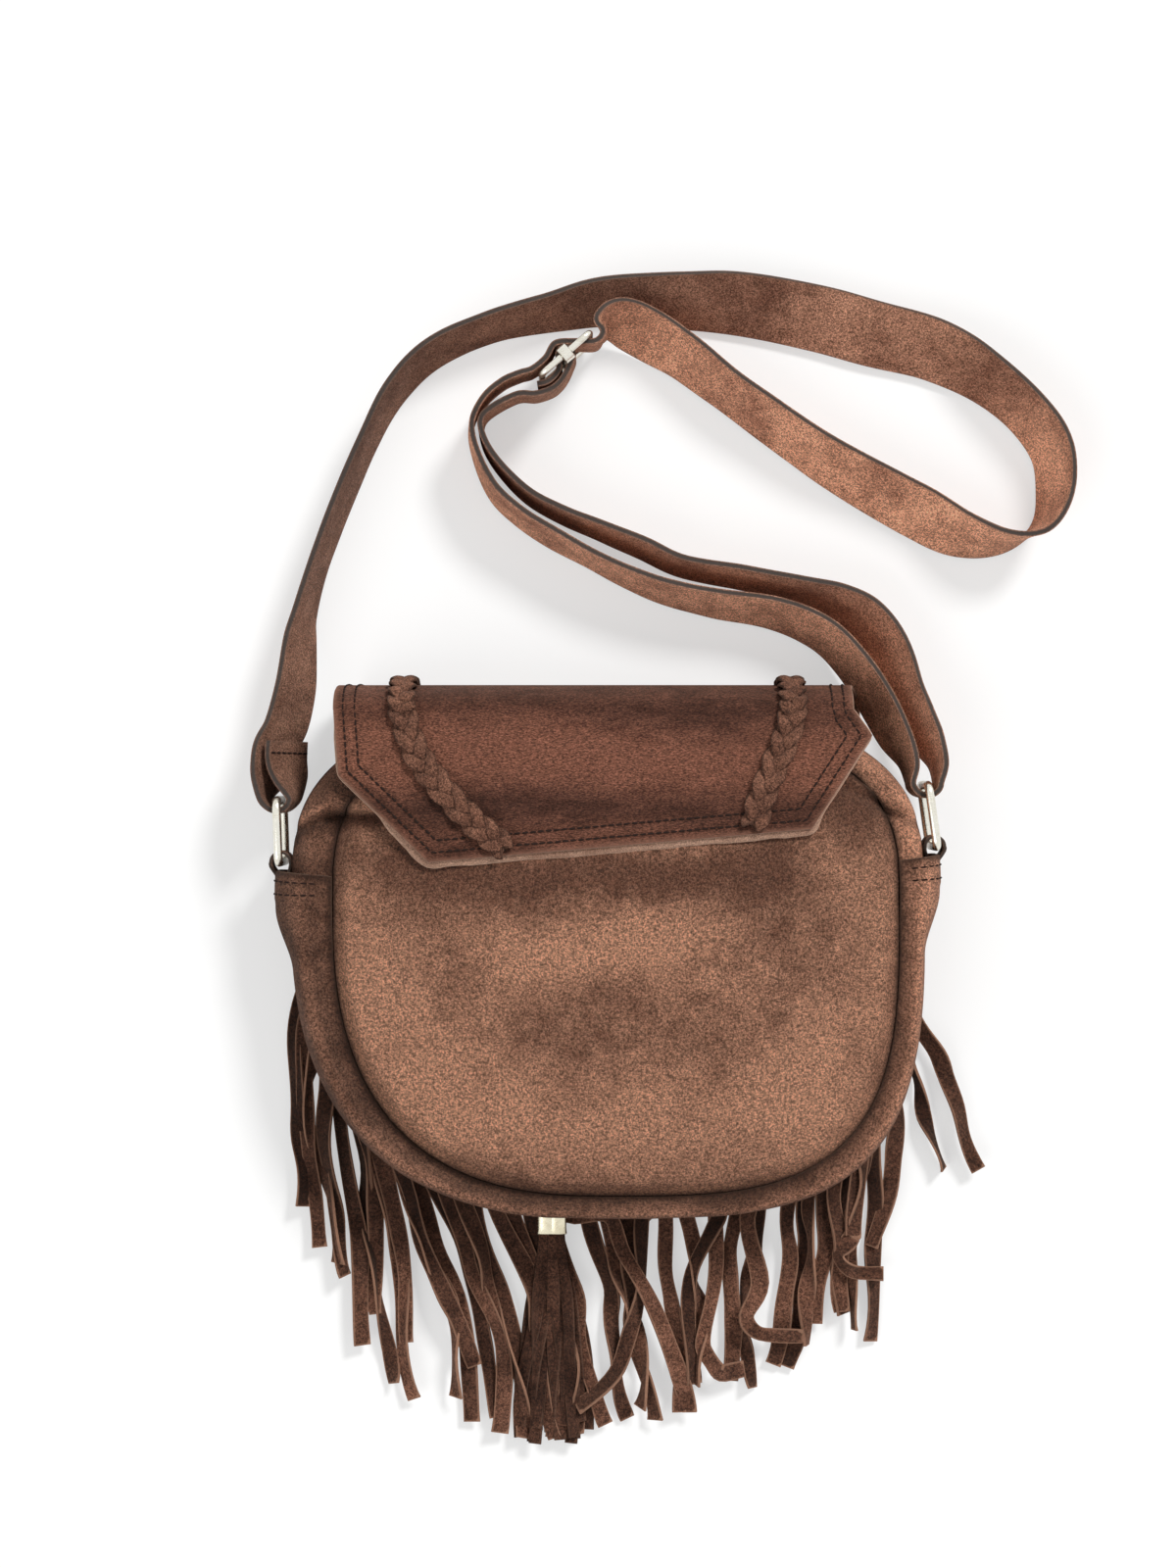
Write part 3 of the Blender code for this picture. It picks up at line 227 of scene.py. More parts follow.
class Shape:
    """Vertices, faces and surface masks of one piece while it is being made."""

    def __init__(self) -> None:
        """Starts with nothing."""
        self.points: list[Sequence[float]] = []
        self.faces: list[Sequence[int]] = []
        self.edge: list[float] = []
        self.rim: list[float] = []
        self.tone: list[float] = []

    def add(
        self,
        points: Iterable[Sequence[float]],
        faces: Iterable[Sequence[int]],
        edge: Sequence[float],
        rim: Sequence[float],
        tone: Sequence[float],
    ) -> None:
        """Adds points, faces counted from the first of them, and one value a point of each mask."""
        base = len(self.points)
        self.points += [tuple(map(float, p)) for p in points]
        self.faces += [[base + i for i in face] for face in faces]
        self.edge += list(edge)
        self.rim += list(rim)
        self.tone += list(tone)

    def add_sheet(
        self,
        grid: np.ndarray,
        thickness: float | np.ndarray,
        bulge: float = 0.3,
        tones: tuple[float, float] | np.ndarray = (0.0, 0.0),
    ) -> None:
        """Adds a closed sheet whose outer face is a grid of points.

        Args:
            grid: Points in rows and columns. Columns crossed with rows point outwards.
            thickness: The wall, one number or one a point.
            bulge: How far the cut edge stands out, as a share of the wall. Below 0 it is a groove.
            tones: The tone mask on the outer and the inner face, or one pair a point.
        """
        rows, columns, _ = grid.shape
        along = np.gradient(grid, axis=1)
        down = np.gradient(grid, axis=0)
        normal = np.cross(along, down)
        normal /= np.maximum(np.linalg.norm(normal, axis=2, keepdims=True), 1e-12)
        wall = np.broadcast_to(np.asarray(thickness, float), (rows, columns))[..., None]
        inner = grid - normal * wall
        ring = [(0, c) for c in range(columns)]
        ring += [(r, columns - 1) for r in range(1, rows)]
        ring += [(rows - 1, c) for c in range(columns - 2, -1, -1)]
        ring += [(r, 0) for r in range(rows - 2, 0, -1)]
        middle = []
        for r, c in ring:
            away = np.zeros(3)
            if r in (0, rows - 1):
                away += (-1 if r == 0 else 1) * down[r, c] / max(np.linalg.norm(down[r, c]), 1e-12)
            if c in (0, columns - 1):
                away += (-1 if c == 0 else 1) * along[r, c] / max(np.linalg.norm(along[r, c]), 1e-12)
            away /= max(np.linalg.norm(away), 1e-12)
            middle.append((grid[r, c] + inner[r, c]) / 2 + away * bulge * wall[r, c])
        size = rows * columns
        faces = []
        for r in range(rows - 1):
            for c in range(columns - 1):
                a, b = r * columns + c, r * columns + c + 1
                d, e = a + columns, b + columns
                faces.append((a, b, e, d))
                faces.append((size + a, size + d, size + e, size + b))
        count = len(ring)
        for i, (r, c) in enumerate(ring):
            nr, nc = ring[(i + 1) % count]
            here, there = r * columns + c, nr * columns + nc
            mid, mid_next = 2 * size + i, 2 * size + (i + 1) % count
            faces.append((there, here, mid, mid_next))
            faces.append((mid_next, mid, size + here, size + there))
        step_c = np.concatenate([np.zeros((rows, 1)), np.linalg.norm(np.diff(grid, axis=1), axis=2)], 1)
        step_r = np.concatenate([np.zeros((1, columns)), np.linalg.norm(np.diff(grid, axis=0), axis=2)], 0)
        run_c, run_r = np.cumsum(step_c, 1), np.cumsum(step_r, 0)
        near = np.minimum(
            np.minimum(run_c, run_c[:, -1:] - run_c), np.minimum(run_r, run_r[-1:, :] - run_r)
        ) / MM
        if isinstance(tones, tuple):
            outer_tone = [tones[0]] * size
            inner_tone = [tones[1]] * size
        else:
            outer_tone = list(tones[..., 0].ravel())
            inner_tone = list(tones[..., 1].ravel())
        edge = list(near.ravel())
        border = np.zeros((rows, columns))
        border[0, :] = border[-1, :] = border[:, 0] = border[:, -1] = 0.45
        self.add(
            list(grid.reshape(-1, 3)) + list(inner.reshape(-1, 3)) + middle,
            faces,
            edge + edge + [0.0] * count,
            list(border.ravel()) * 2 + [1.0] * count,
            outer_tone + inner_tone + [outer_tone[0]] * count,
        )

    def add_mesh(
        self, mesh: bpy.types.Mesh, narrow: float = 0.0, tone: Callable[[Vector], float] | None = None,
        raw: float = 0.7,
    ) -> None:
        """Adds a finished mesh.

        Args:
            mesh: The mesh.
            narrow: Long faces narrower than this count as cut edges.
            tone: Gives the tone mask at a point.
            raw: How strongly cut edges show.
        """
        faces = [list(p.vertices) for p in mesh.polygons]
        points = [v.co.copy() for v in mesh.vertices]
        rim = [0.0] * len(points)
        for face in faces:
            sides = [(points[a] - points[b]).length for a, b in zip(face, face[1:] + face[:1])]
            if min(sides) < narrow < max(sides):
                for corner in face:
                    rim[corner] = raw
        tones = [tone(p) if tone else 0.0 for p in points]
        self.add(points, faces, [5.0] * len(points), rim, tones)

    def finish(self, name: str, *materials: bpy.types.Material) -> bpy.types.Object:
        """Makes the object and its masks.

        Args:
            name: The piece's name.
            *materials: Its materials, the first for every face.

        Returns:
            The new object, linked to the scene.
        """
        mesh = bpy.data.meshes.new(name)
        mesh.from_pydata(self.points, [], self.faces)
        mesh.validate()
        for title, values in (("edge", self.edge), ("rim", self.rim), ("tone", self.tone)):
            mesh.attributes.new(title, "FLOAT", "POINT").data.foreach_set("value", values)
        mesh.shade_smooth()
        mesh.set_sharp_from_angle(angle=SHARP_ANGLE)
        thing = bpy.data.objects.new(name, mesh)
        for finish in materials:
            mesh.materials.append(finish)
        bpy.context.scene.collection.objects.link(thing)
        return thing


def laid(place: Place, columns: int, rows: int) -> np.ndarray:
    """Lays a grid out with a function.

    Args:
        place: Gives a point for two shares, along the columns and along the rows.
        columns: Number of points along the first share.
        rows: Number of points along the second share.

    Returns:
        The points in rows and columns.
    """
    return np.array(
        [[place(c / (columns - 1), r / (rows - 1)) for c in range(columns)] for r in range(rows)],
        float,
    )


# Shader groups


class Links:
    """A small helper that adds nodes to a tree and joins their sockets."""

    def __init__(self, tree: bpy.types.NodeTree) -> None:
        """Works on one node tree."""
        self.tree = tree

    def node(self, kind: str, **settings: object) -> bpy.types.Node:
        """Adds a node. A setting whose name is an input's sets or joins it, another is an attribute."""
        made = self.tree.nodes.new(kind)
        sockets = {}
        for key, value in settings.items():
            if hasattr(made, key) and key != "inputs":
                setattr(made, key, value)
            else:
                sockets[key] = value
        for key, value in sockets.items():
            name = key.replace("_", " ")
            target = made.inputs.get(name) or made.inputs.get(key)
            self.put(target, value)
        return made

    def put(self, target: bpy.types.NodeSocket, value: object) -> None:
        """Joins an output to an input, or sets the input's value."""
        if isinstance(value, bpy.types.NodeSocket):
            self.tree.links.new(value, target)
        else:
            target.default_value = value

    def noise(self, vector: object, scale: float, detail: float = 2.0, twist: float = 0.0) -> object:
        """Adds a noise texture and gives its value."""
        made = self.node("ShaderNodeTexNoise", Scale=scale, Detail=detail, Distortion=twist)
        self.put(made.inputs["Vector"], vector)
        return made.outputs["Fac"]

    def sum(self, one: object, two: object, kind: str = "ADD") -> object:
        """Adds a Math node and gives its value."""
        made = self.node("ShaderNodeMath", operation=kind)
        self.put(made.inputs[0], one)
        self.put(made.inputs[1], two)
        return made.outputs[0]

    def ranged(self, value: object, low: float, high: float, start: float, end: float) -> object:
        """Maps low..high smoothly to start..end."""
        made = self.node("ShaderNodeMapRange", interpolation_type="SMOOTHSTEP")
        for key, entry in zip(("Value", "From Min", "From Max", "To Min", "To Max"),
                              (value, low, high, start, end)):
            self.put(made.inputs[key], entry)
        return made.outputs["Result"]

    def mix(self, factor: object, one: object, two: object, kind: str = "MIX") -> object:
        """Mixes two colours."""
        made = self.node("ShaderNodeMix", data_type="RGBA", blend_type=kind)
        self.put(made.inputs["Factor_Float"] if "Factor_Float" in made.inputs else made.inputs[0], factor)
        self.put(made.inputs[6], one)
        self.put(made.inputs[7], two)
        return made.outputs[2]

    def attribute(self, name: str) -> object:
        """Reads one of the piece's masks."""
        return self.node("ShaderNodeAttribute", attribute_name=name).outputs["Fac"]


def new_group(name: str, inputs: dict[str, str], outputs: dict[str, str]) -> tuple[Links, dict, dict]:
    """Starts a shader group.

    Args:
        name: The group's name.
        inputs: Input names, each with Float, Color or Vector.
        outputs: Output names, each with Float, Color or Vector.

    Returns:
        The helper for its tree, its inner inputs by name and its inner outputs by name.
    """
    tree = bpy.data.node_groups.new(name, "ShaderNodeTree")
    for title, kind in inputs.items():
        tree.interface.new_socket(title, in_out="INPUT", socket_type=f"NodeSocket{kind}")
    for title, kind in outputs.items():
        tree.interface.new_socket(title, in_out="OUTPUT", socket_type=f"NodeSocket{kind}")
    start, end = tree.nodes.new("NodeGroupInput"), tree.nodes.new("NodeGroupOutput")
    given = {s.name: s for s in start.outputs if s.name}
    wanted = {s.name: s for s in end.inputs if s.name}
    return Links(tree), given, wanted


def nap_group() -> bpy.types.NodeTree:
    """The brushed nap of suede: shaded patches, brush marks, pebbled grain and loose fibres."""
    links, given, wanted = new_group(
        "suede nap",
        {"Vector": "Vector", "Dark": "Color", "Light": "Color", "Patch": "Float", "Balance": "Float",
         "Shift": "Float", "Grain": "Float", "Grain Depth": "Float"},
        {"Color": "Color", "Roughness": "Float", "Height": "Float"},
    )
    vector = given["Vector"]
    patch = links.noise(vector, 1.0, 3.0, 0.4)
    links.put(patch.node.inputs["Scale"], given["Patch"])
    brush = links.noise(vector, 130.0, 4.0, 0.8)
    grain = links.noise(vector, 1.0, 4.0, 0.0)
    grain.node.inputs["Roughness"].default_value = 0.72
    links.put(grain.node.inputs["Scale"], given["Grain"])
    fibre = links.noise(vector, 2300.0, 3.0, 0.0)
    fibre.node.inputs["Roughness"].default_value = 0.7
    shade = links.sum(links.sum(patch, 0.5, "MULTIPLY"), links.sum(brush, 0.3, "MULTIPLY"))
    shade = links.sum(shade, 0.1)
    shade = links.sum(links.sum(shade, given["Balance"]), given["Shift"])
    share = links.ranged(shade, 0.3, 0.72, 0.0, 1.0)
    colour = links.mix(share, given["Dark"], given["Light"])
    # Painted shade in the grain's pits: pits darken the colour, while the bump gives the same grain its relief.
    pits = links.ranged(grain, 0.36, 0.62, 0.0, 1.7)
    pit_shade = links.sum(links.sum(pits, given["Grain Depth"], "MULTIPLY"),
                          links.sum(1.0, given["Grain Depth"], "SUBTRACT"))
    dots = links.ranged(fibre, 0.36, 0.64, 0.5, 1.5)
    value = links.sum(pit_shade, dots, "MULTIPLY")
    grey = links.node("ShaderNodeCombineColor", Red=value, Green=value, Blue=value).outputs[0]
    links.put(wanted["Color"], links.mix(1.0, colour, grey, "MULTIPLY"))
    links.put(wanted["Roughness"], links.ranged(brush, 0.3, 0.7, 0.98, 0.84))
    rough = links.sum(links.sum(grain, 0.75, "MULTIPLY"), links.sum(fibre, 0.25, "MULTIPLY"))
    links.put(wanted["Height"], rough)
    return links.tree


def cut_edge_group() -> bpy.types.NodeTree:
    """Raw cut edges and the strip beside them, which is worn on some pieces and painted shade in seams and between
    laces on others, read from the piece's masks.
    """
    links, given, wanted = new_group(
        "cut edge",
        {"Color": "Color", "Edge Color": "Color", "Worn And Shaded Color": "Color", "Wear And Shade": "Float",
         "Width": "Float", "Vector": "Vector"},
        {"Color": "Color", "Mask": "Float"},
    )
    ragged = links.noise(given["Vector"], 420.0, 3.0, 0.5)
    near = links.sum(links.attribute("edge"), links.sum(ragged, 1.6, "MULTIPLY"))
    reach = links.node("ShaderNodeMapRange", interpolation_type="SMOOTHSTEP")
    links.put(reach.inputs["Value"], near)
    links.put(reach.inputs["From Min"], 0.5)
    links.put(reach.inputs["From Max"], given["Width"])
    links.put(reach.inputs["To Min"], 1.0)
    links.put(reach.inputs["To Max"], 0.0)
    # Beside the edge the colour turns to the edge-strip colour: real wear on some finishes, painted shade in seams and
    # between laces on others.
    worn_and_shaded = links.sum(reach.outputs["Result"], given["Wear And Shade"], "MULTIPLY")
    colour = links.mix(worn_and_shaded, given["Color"], given["Worn And Shaded Color"])
    raw = links.ranged(links.attribute("rim"), 0.35, 0.8, 0.0, 1.0)
    links.put(wanted["Color"], links.mix(raw, colour, given["Edge Color"]))
    links.put(wanted["Mask"], raw)
    return links.tree


def plate_group() -> bpy.types.NodeTree:
    """Softly worn plate: faint scratches, rubbed spots and a little tarnish."""
    links, given, wanted = new_group(
        "worn plate",
        {"Vector": "Vector", "Bright": "Color", "Tarnish": "Color", "Amount": "Float", "Polish": "Float"},
        {"Color": "Color", "Roughness": "Float", "Height": "Float"},
    )
    cloud = links.noise(given["Vector"], 190.0, 3.0, 0.3)
    stretch = links.node("ShaderNodeMapping", Scale=(300.0, 2600.0, 2600.0))
    links.put(stretch.inputs["Vector"], given["Vector"])
    scratch = links.noise(stretch.outputs["Vector"], 1.0, 3.0, 0.0)
    stain = links.sum(links.ranged(cloud, 0.42, 0.75, 0.0, 1.0), given["Amount"], "MULTIPLY")
    links.put(wanted["Color"], links.mix(stain, given["Bright"], given["Tarnish"]))
    dull = links.sum(links.ranged(scratch, 0.35, 0.7, 0.0, 0.12), links.sum(stain, 0.25, "MULTIPLY"))
    links.put(wanted["Roughness"], links.sum(given["Polish"], dull))
    links.put(wanted["Height"], scratch)
    return links.tree


@dataclass(frozen=True)
class SuedeFinish:
    """One suede or nubuck finish."""

    name: str
    dark: Colour
    light: Colour
    edge: Colour
    # The colour beside cut edges, its amount and its reach: real wear on the flap, lining and strap, painted shade in
    # the seam groove on the panel and band and between the braid's laces.
    worn_and_shaded: Colour
    patch: float = 26.0
    balance: float = 0.0
    stretch: tuple[float, float, float] = (1.0, 1.0, 1.0)
    grain: float = 900.0
    grain_depth: float = 0.45
    bump: float = 1.0
    bump_depth: float = 0.0012
    wear_and_shade: float = 0.3
    wear_and_shade_width: float = 4.0
    tone_light: Colour | None = None
    tone_shift: float = 0.0
    sheen: float = 0.08

    def build(self, groups: dict[str, bpy.types.NodeTree]) -> bpy.types.Material:
        """Makes the material from the shared groups."""
        material = bpy.data.materials.new(self.name)
        material.use_nodes = True
        links = Links(material.node_tree)
        shader = material.node_tree.nodes["Principled BSDF"]
        where = links.node("ShaderNodeTexCoord").outputs["Object"]
        stretched = links.node("ShaderNodeMapping", Scale=self.stretch)
        links.put(stretched.inputs["Vector"], where)
        nap = links.node("ShaderNodeGroup", node_tree=groups["nap"])
        links.put(nap.inputs["Vector"], stretched.outputs["Vector"])
        links.put(nap.inputs["Dark"], (*self.dark, 1))
        links.put(nap.inputs["Light"], (*self.light, 1))
        links.put(nap.inputs["Patch"], self.patch)
        links.put(nap.inputs["Balance"], self.balance)
        links.put(nap.inputs["Shift"], links.sum(links.attribute("tone"), self.tone_shift, "MULTIPLY"))
        links.put(nap.inputs["Grain"], self.grain)
        links.put(nap.inputs["Grain Depth"], self.grain_depth)
        colour = nap.outputs["Color"]
        if self.tone_light:
            lift = links.mix(1.0, colour, (*self.tone_light, 1), "MULTIPLY")
            colour = links.mix(links.attribute("tone"), colour, lift)
        cut = links.node("ShaderNodeGroup", node_tree=groups["cut"])
        links.put(cut.inputs["Color"], colour)
        links.put(cut.inputs["Edge Color"], (*self.edge, 1))
        links.put(cut.inputs["Worn And Shaded Color"], (*self.worn_and_shaded, 1))
        links.put(cut.inputs["Wear And Shade"], self.wear_and_shade)
        links.put(cut.inputs["Width"], self.wear_and_shade_width)
        links.put(cut.inputs["Vector"], where)
        links.put(shader.inputs["Base Color"], cut.outputs["Color"])
        links.put(shader.inputs["Roughness"], nap.outputs["Roughness"])
        shader.inputs["Sheen Weight"].default_value = self.sheen
        shader.inputs["Sheen Roughness"].default_value = 0.45
        shader.inputs["Sheen Tint"].default_value = (0.9, 0.66, 0.5, 1)
        shader.inputs["Specular IOR Level"].default_value = 0.2
        bump = links.node("ShaderNodeBump", Strength=self.bump, Distance=self.bump_depth)
        links.put(bump.inputs["Height"], nap.outputs["Height"])
        links.put(shader.inputs["Normal"], bump.outputs["Normal"])
        return material


@dataclass(frozen=True)
class PlateFinish:
    """One plated metal finish."""

    name: str
    bright: Colour
    tarnish: Colour
    amount: float = 0.5
    polish: float = 0.16

    def build(self, groups: dict[str, bpy.types.NodeTree]) -> bpy.types.Material:
        """Makes the material from the shared group."""
        material = bpy.data.materials.new(self.name)
        material.use_nodes = True
        links = Links(material.node_tree)
        shader = material.node_tree.nodes["Principled BSDF"]
        plate = links.node("ShaderNodeGroup", node_tree=groups["plate"])
        links.put(plate.inputs["Vector"], links.node("ShaderNodeTexCoord").outputs["Object"])
        links.put(plate.inputs["Bright"], (*self.bright, 1))
        links.put(plate.inputs["Tarnish"], (*self.tarnish, 1))
        links.put(plate.inputs["Amount"], self.amount)
        links.put(plate.inputs["Polish"], self.polish)
        links.put(shader.inputs["Base Color"], plate.outputs["Color"])
        links.put(shader.inputs["Roughness"], plate.outputs["Roughness"])
        shader.inputs["Metallic"].default_value = 1.0
        bump = links.node("ShaderNodeBump", Strength=0.08, Distance=0.0001)
        links.put(bump.inputs["Height"], plate.outputs["Height"])
        links.put(shader.inputs["Normal"], bump.outputs["Normal"])
        return material


@dataclass(frozen=True)
class WovenFinish:
    """Zip tape or sewing thread: a fine twill."""

    name: str
    dark: Colour
    light: Colour
    pitch: float
    bump: float = 0.5

    def build(self, groups: dict[str, bpy.types.NodeTree]) -> bpy.types.Material:
        """Makes the material. It uses none of the shared groups."""
        material = bpy.data.materials.new(self.name)
        material.use_nodes = True
        links = Links(material.node_tree)
        shader = material.node_tree.nodes["Principled BSDF"]
        where = links.node("ShaderNodeTexCoord").outputs["Object"]
        wave = links.node("ShaderNodeTexWave", bands_direction="DIAGONAL", Scale=self.pitch, Distortion=1.5)
        links.put(wave.inputs["Vector"], where)
        twill = wave.outputs["Fac"]
        worn_and_shaded = links.noise(where, 300.0, 3.0)
        share = links.sum(links.sum(twill, 0.6, "MULTIPLY"), links.sum(worn_and_shaded, 0.4, "MULTIPLY"))
        links.put(shader.inputs["Base Color"], links.mix(share, (*self.dark, 1), (*self.light, 1)))
        links.put(shader.inputs["Roughness"], links.ranged(worn_and_shaded, 0.3, 0.7, 0.85, 0.98))
        shader.inputs["Specular IOR Level"].default_value = 0.1
        bump = links.node("ShaderNodeBump", Strength=self.bump, Distance=0.0002)
        links.put(bump.inputs["Height"], twill)
        links.put(shader.inputs["Normal"], bump.outputs["Normal"])
        return material


class Finish(Enum):
    """Every finish on the bag."""

    # The panel's near-black edge colour is painted shade in the seam groove; its tone mask adds the nap's patches and
    # painted light and shade.
    PANEL = SuedeFinish(
        "panel suede", (0.185, 0.077, 0.045), (0.66, 0.325, 0.198), (0.2, 0.12, 0.08),
        (0.045, 0.016, 0.009), patch=22.0, grain=1000.0, grain_depth=0.6, bump_depth=0.0046,
        wear_and_shade=0.85, wear_and_shade_width=4.2, tone_shift=0.15,
    )
    # The band's tone mask is painted light: the lit crest, the paler right side, the zip strips' paler right half and
    # the folds' ridges; its near-black edge colour is painted shade in the seam groove.
    BAND = SuedeFinish(
        "band suede", (0.07, 0.027, 0.015), (0.29, 0.135, 0.083), (0.16, 0.09, 0.06),
        (0.03, 0.011, 0.006), patch=26.0, grain=1000.0, grain_depth=0.65, bump_depth=0.004,
        wear_and_shade=0.8, wear_and_shade_width=4.4, tone_shift=0.2, tone_light=(3.1, 3.2, 3.2),
    )
    FLAP = SuedeFinish(
        "flap nubuck", (0.05, 0.018, 0.011), (0.21, 0.082, 0.05), (0.46, 0.29, 0.21),
        (0.28, 0.135, 0.09), patch=16.0, stretch=(0.5, 1.5, 1.0), grain=1500.0, grain_depth=0.65,
        bump_depth=0.0012, wear_and_shade=0.6, wear_and_shade_width=3.2, tone_shift=0.2,
    )
    LINING = SuedeFinish(
        "lining edge", (0.22, 0.112, 0.072), (0.5, 0.31, 0.22), (0.52, 0.33, 0.24),
        (0.44, 0.27, 0.19), patch=60.0, grain=1400.0, grain_depth=0.3, bump_depth=0.0008, wear_and_shade=0.3,
    )
    # The braid's near-black edge colour is painted shade along each lace's edges, where the laces cross and meet the
    # flap.
    BRAID = SuedeFinish(
        "braid suede", (0.085, 0.034, 0.021), (0.27, 0.122, 0.075), (0.1, 0.045, 0.028),
        (0.012, 0.005, 0.003), patch=70.0, grain=1200.0, grain_depth=0.6, wear_and_shade=0.9, wear_and_shade_width=1.7,
    )
    # The tone mask darkens a strip by its own random tone and by painted shade near the body.
    FRINGE = SuedeFinish(
        "fringe suede", (0.065, 0.026, 0.015), (0.24, 0.108, 0.067), (0.34, 0.18, 0.115),
        (0.12, 0.055, 0.034), patch=45.0, grain=900.0, grain_depth=0.6, wear_and_shade=0.0,
        tone_light=(0.2, 0.17, 0.15),
    )
    # The tone mask lifts the strap's colour about fourfold: partly the suede's own paler stretches, partly painted
    # light.
    STRAP = SuedeFinish(
        "strap suede", (0.09, 0.037, 0.023), (0.285, 0.142, 0.092), (0.07, 0.055, 0.048),
        (0.24, 0.13, 0.09), patch=30.0, grain=1250.0, grain_depth=0.6, wear_and_shade=0.4, wear_and_shade_width=2.2,
        tone_light=(4.1, 4.2, 4.05),
    )
    NICKEL = PlateFinish("pale nickel", (0.78, 0.76, 0.68), (0.5, 0.46, 0.36))
    GILT = PlateFinish("pale gilt", (0.8, 0.74, 0.56), (0.5, 0.42, 0.26), polish=0.2)
    TAPE = WovenFinish("zip tape", (0.018, 0.01, 0.007), (0.06, 0.032, 0.022), 900.0)
    THREAD = WovenFinish("dark thread", (0.012, 0.008, 0.007), (0.045, 0.026, 0.02), 2600.0)


class Finishes:
    """The bag's materials, each made once."""

    def __init__(self) -> None:
        """Builds the shared groups and every material."""
        groups = {"nap": nap_group(), "cut": cut_edge_group(), "plate": plate_group()}
        self.made = {finish: finish.value.build(groups) for finish in Finish}

    def __getitem__(self, finish: Finish) -> bpy.types.Material:
        """The material of one finish."""
        return self.made[finish]


# Geometry node trees


def new_tree(name: str, inputs: dict[str, str]) -> tuple[Links, dict[str, object], object]:
    """Starts a geometry tree with a Geometry input and output and the named inputs.

    Args:
        name: The tree's name.
        inputs: Extra input names, each with Float, Int or Material.

    Returns:
        The helper, the inner inputs by name and the inner geometry output.
    """
    tree = bpy.data.node_groups.new(name, "GeometryNodeTree")
    tree.interface.new_socket("Geometry", in_out="INPUT", socket_type="NodeSocketGeometry")
    for title, kind in inputs.items():
        tree.interface.new_socket(title, in_out="INPUT", socket_type=f"NodeSocket{kind}")
    tree.interface.new_socket("Geometry", in_out="OUTPUT", socket_type="NodeSocketGeometry")
    start, end = tree.nodes.new("NodeGroupInput"), tree.nodes.new("NodeGroupOutput")
    given = {s.name: s for s in start.outputs if s.name}
    return Links(tree), given, end.inputs[0]


def close_tree(links: Links, mesh: object, material: object, end: object) -> bpy.types.NodeTree:
    """Ends a geometry tree in Realize Instances, Set Shade Smooth and Set Material."""
    real = links.node("GeometryNodeRealizeInstances", Geometry=mesh)
    smooth = links.node("GeometryNodeSetShadeSmooth", Geometry=real.outputs[0])
    painted = links.node("GeometryNodeSetMaterial", Geometry=smooth.outputs[0], Material=material)
    links.put(end, painted.outputs[0])
    return links.tree


def stitch_tree() -> bpy.types.NodeTree:
    """A row of stitches: one lozenge of thread a pitch along every path."""
    links, given, end = new_tree(
        "stitch row", {"Pitch": "Float", "Stitch": "Float", "Thread": "Float", "Material": "Material"}
    )
    curve = links.node("GeometryNodeMeshToCurve", Mesh=given["Geometry"])
    spots = links.node("GeometryNodeCurveToPoints", mode="LENGTH", Curve=curve.outputs[0], Length=given["Pitch"])
    ball = links.node("GeometryNodeMeshUVSphere", Segments=8, Rings=6, Radius=1.0)
    size = links.node("ShaderNodeCombineXYZ", X=given["Thread"], Y=given["Thread"], Z=given["Stitch"])
    shaped = links.node("GeometryNodeTransform", Geometry=ball.outputs[0], Scale=size.outputs[0])
    many = links.node(
        "GeometryNodeInstanceOnPoints", Points=spots.outputs["Points"], Instance=shaped.outputs[0],
        Rotation=spots.outputs["Rotation"],
    )
    return close_tree(links, many.outputs[0], given["Material"], end)


def strip_tree() -> bpy.types.NodeTree:
    """A flat strip along every path, turned by the mask twist and narrowed by the mask breadth."""
    links, given, end = new_tree(
        "leather strips", {"Width": "Float", "Thickness": "Float", "Material": "Material"}
    )
    curve = links.node("GeometryNodeMeshToCurve", Mesh=given["Geometry"])
    level = links.node("GeometryNodeSetCurveNormal", Curve=curve.outputs[0])
    level.mode = "Z_UP"
    twist = links.node("GeometryNodeInputNamedAttribute", data_type="FLOAT", Name="twist")
    turned = links.node("GeometryNodeSetCurveTilt", Curve=level.outputs[0], Tilt=twist.outputs[0])
    breadth = links.node("GeometryNodeInputNamedAttribute", data_type="FLOAT", Name="breadth")
    profile = links.node(
        "GeometryNodeCurvePrimitiveQuadrilateral", Width=given["Width"], Height=given["Thickness"]
    )
    parted = links.node("GeometryNodeSubdivideCurve", Curve=profile.outputs[0], Cuts=3)
    swept = links.node(
        "GeometryNodeCurveToMesh", Curve=turned.outputs[0], Scale=breadth.outputs[0], Fill_Caps=True
    )
    links.put(swept.inputs["Profile Curve"], parted.outputs[0])
    return close_tree(links, swept.outputs[0], given["Material"], end)


def wire_tree() -> bpy.types.NodeTree:
    """A round wire along a path, closed into a ring where the path's edges close into a loop."""
    links, given, end = new_tree("bent wire", {"Radius": "Float", "Sides": "Int", "Material": "Material"})
    curve = links.node("GeometryNodeMeshToCurve", Mesh=given["Geometry"])
    profile = links.node("GeometryNodeCurvePrimitiveCircle", Resolution=given["Sides"], Radius=given["Radius"])
    swept = links.node("GeometryNodeCurveToMesh", Curve=curve.outputs[0], Fill_Caps=True)
    links.put(swept.inputs["Profile Curve"], profile.outputs[0])
    return close_tree(links, swept.outputs[0], given["Material"], end)


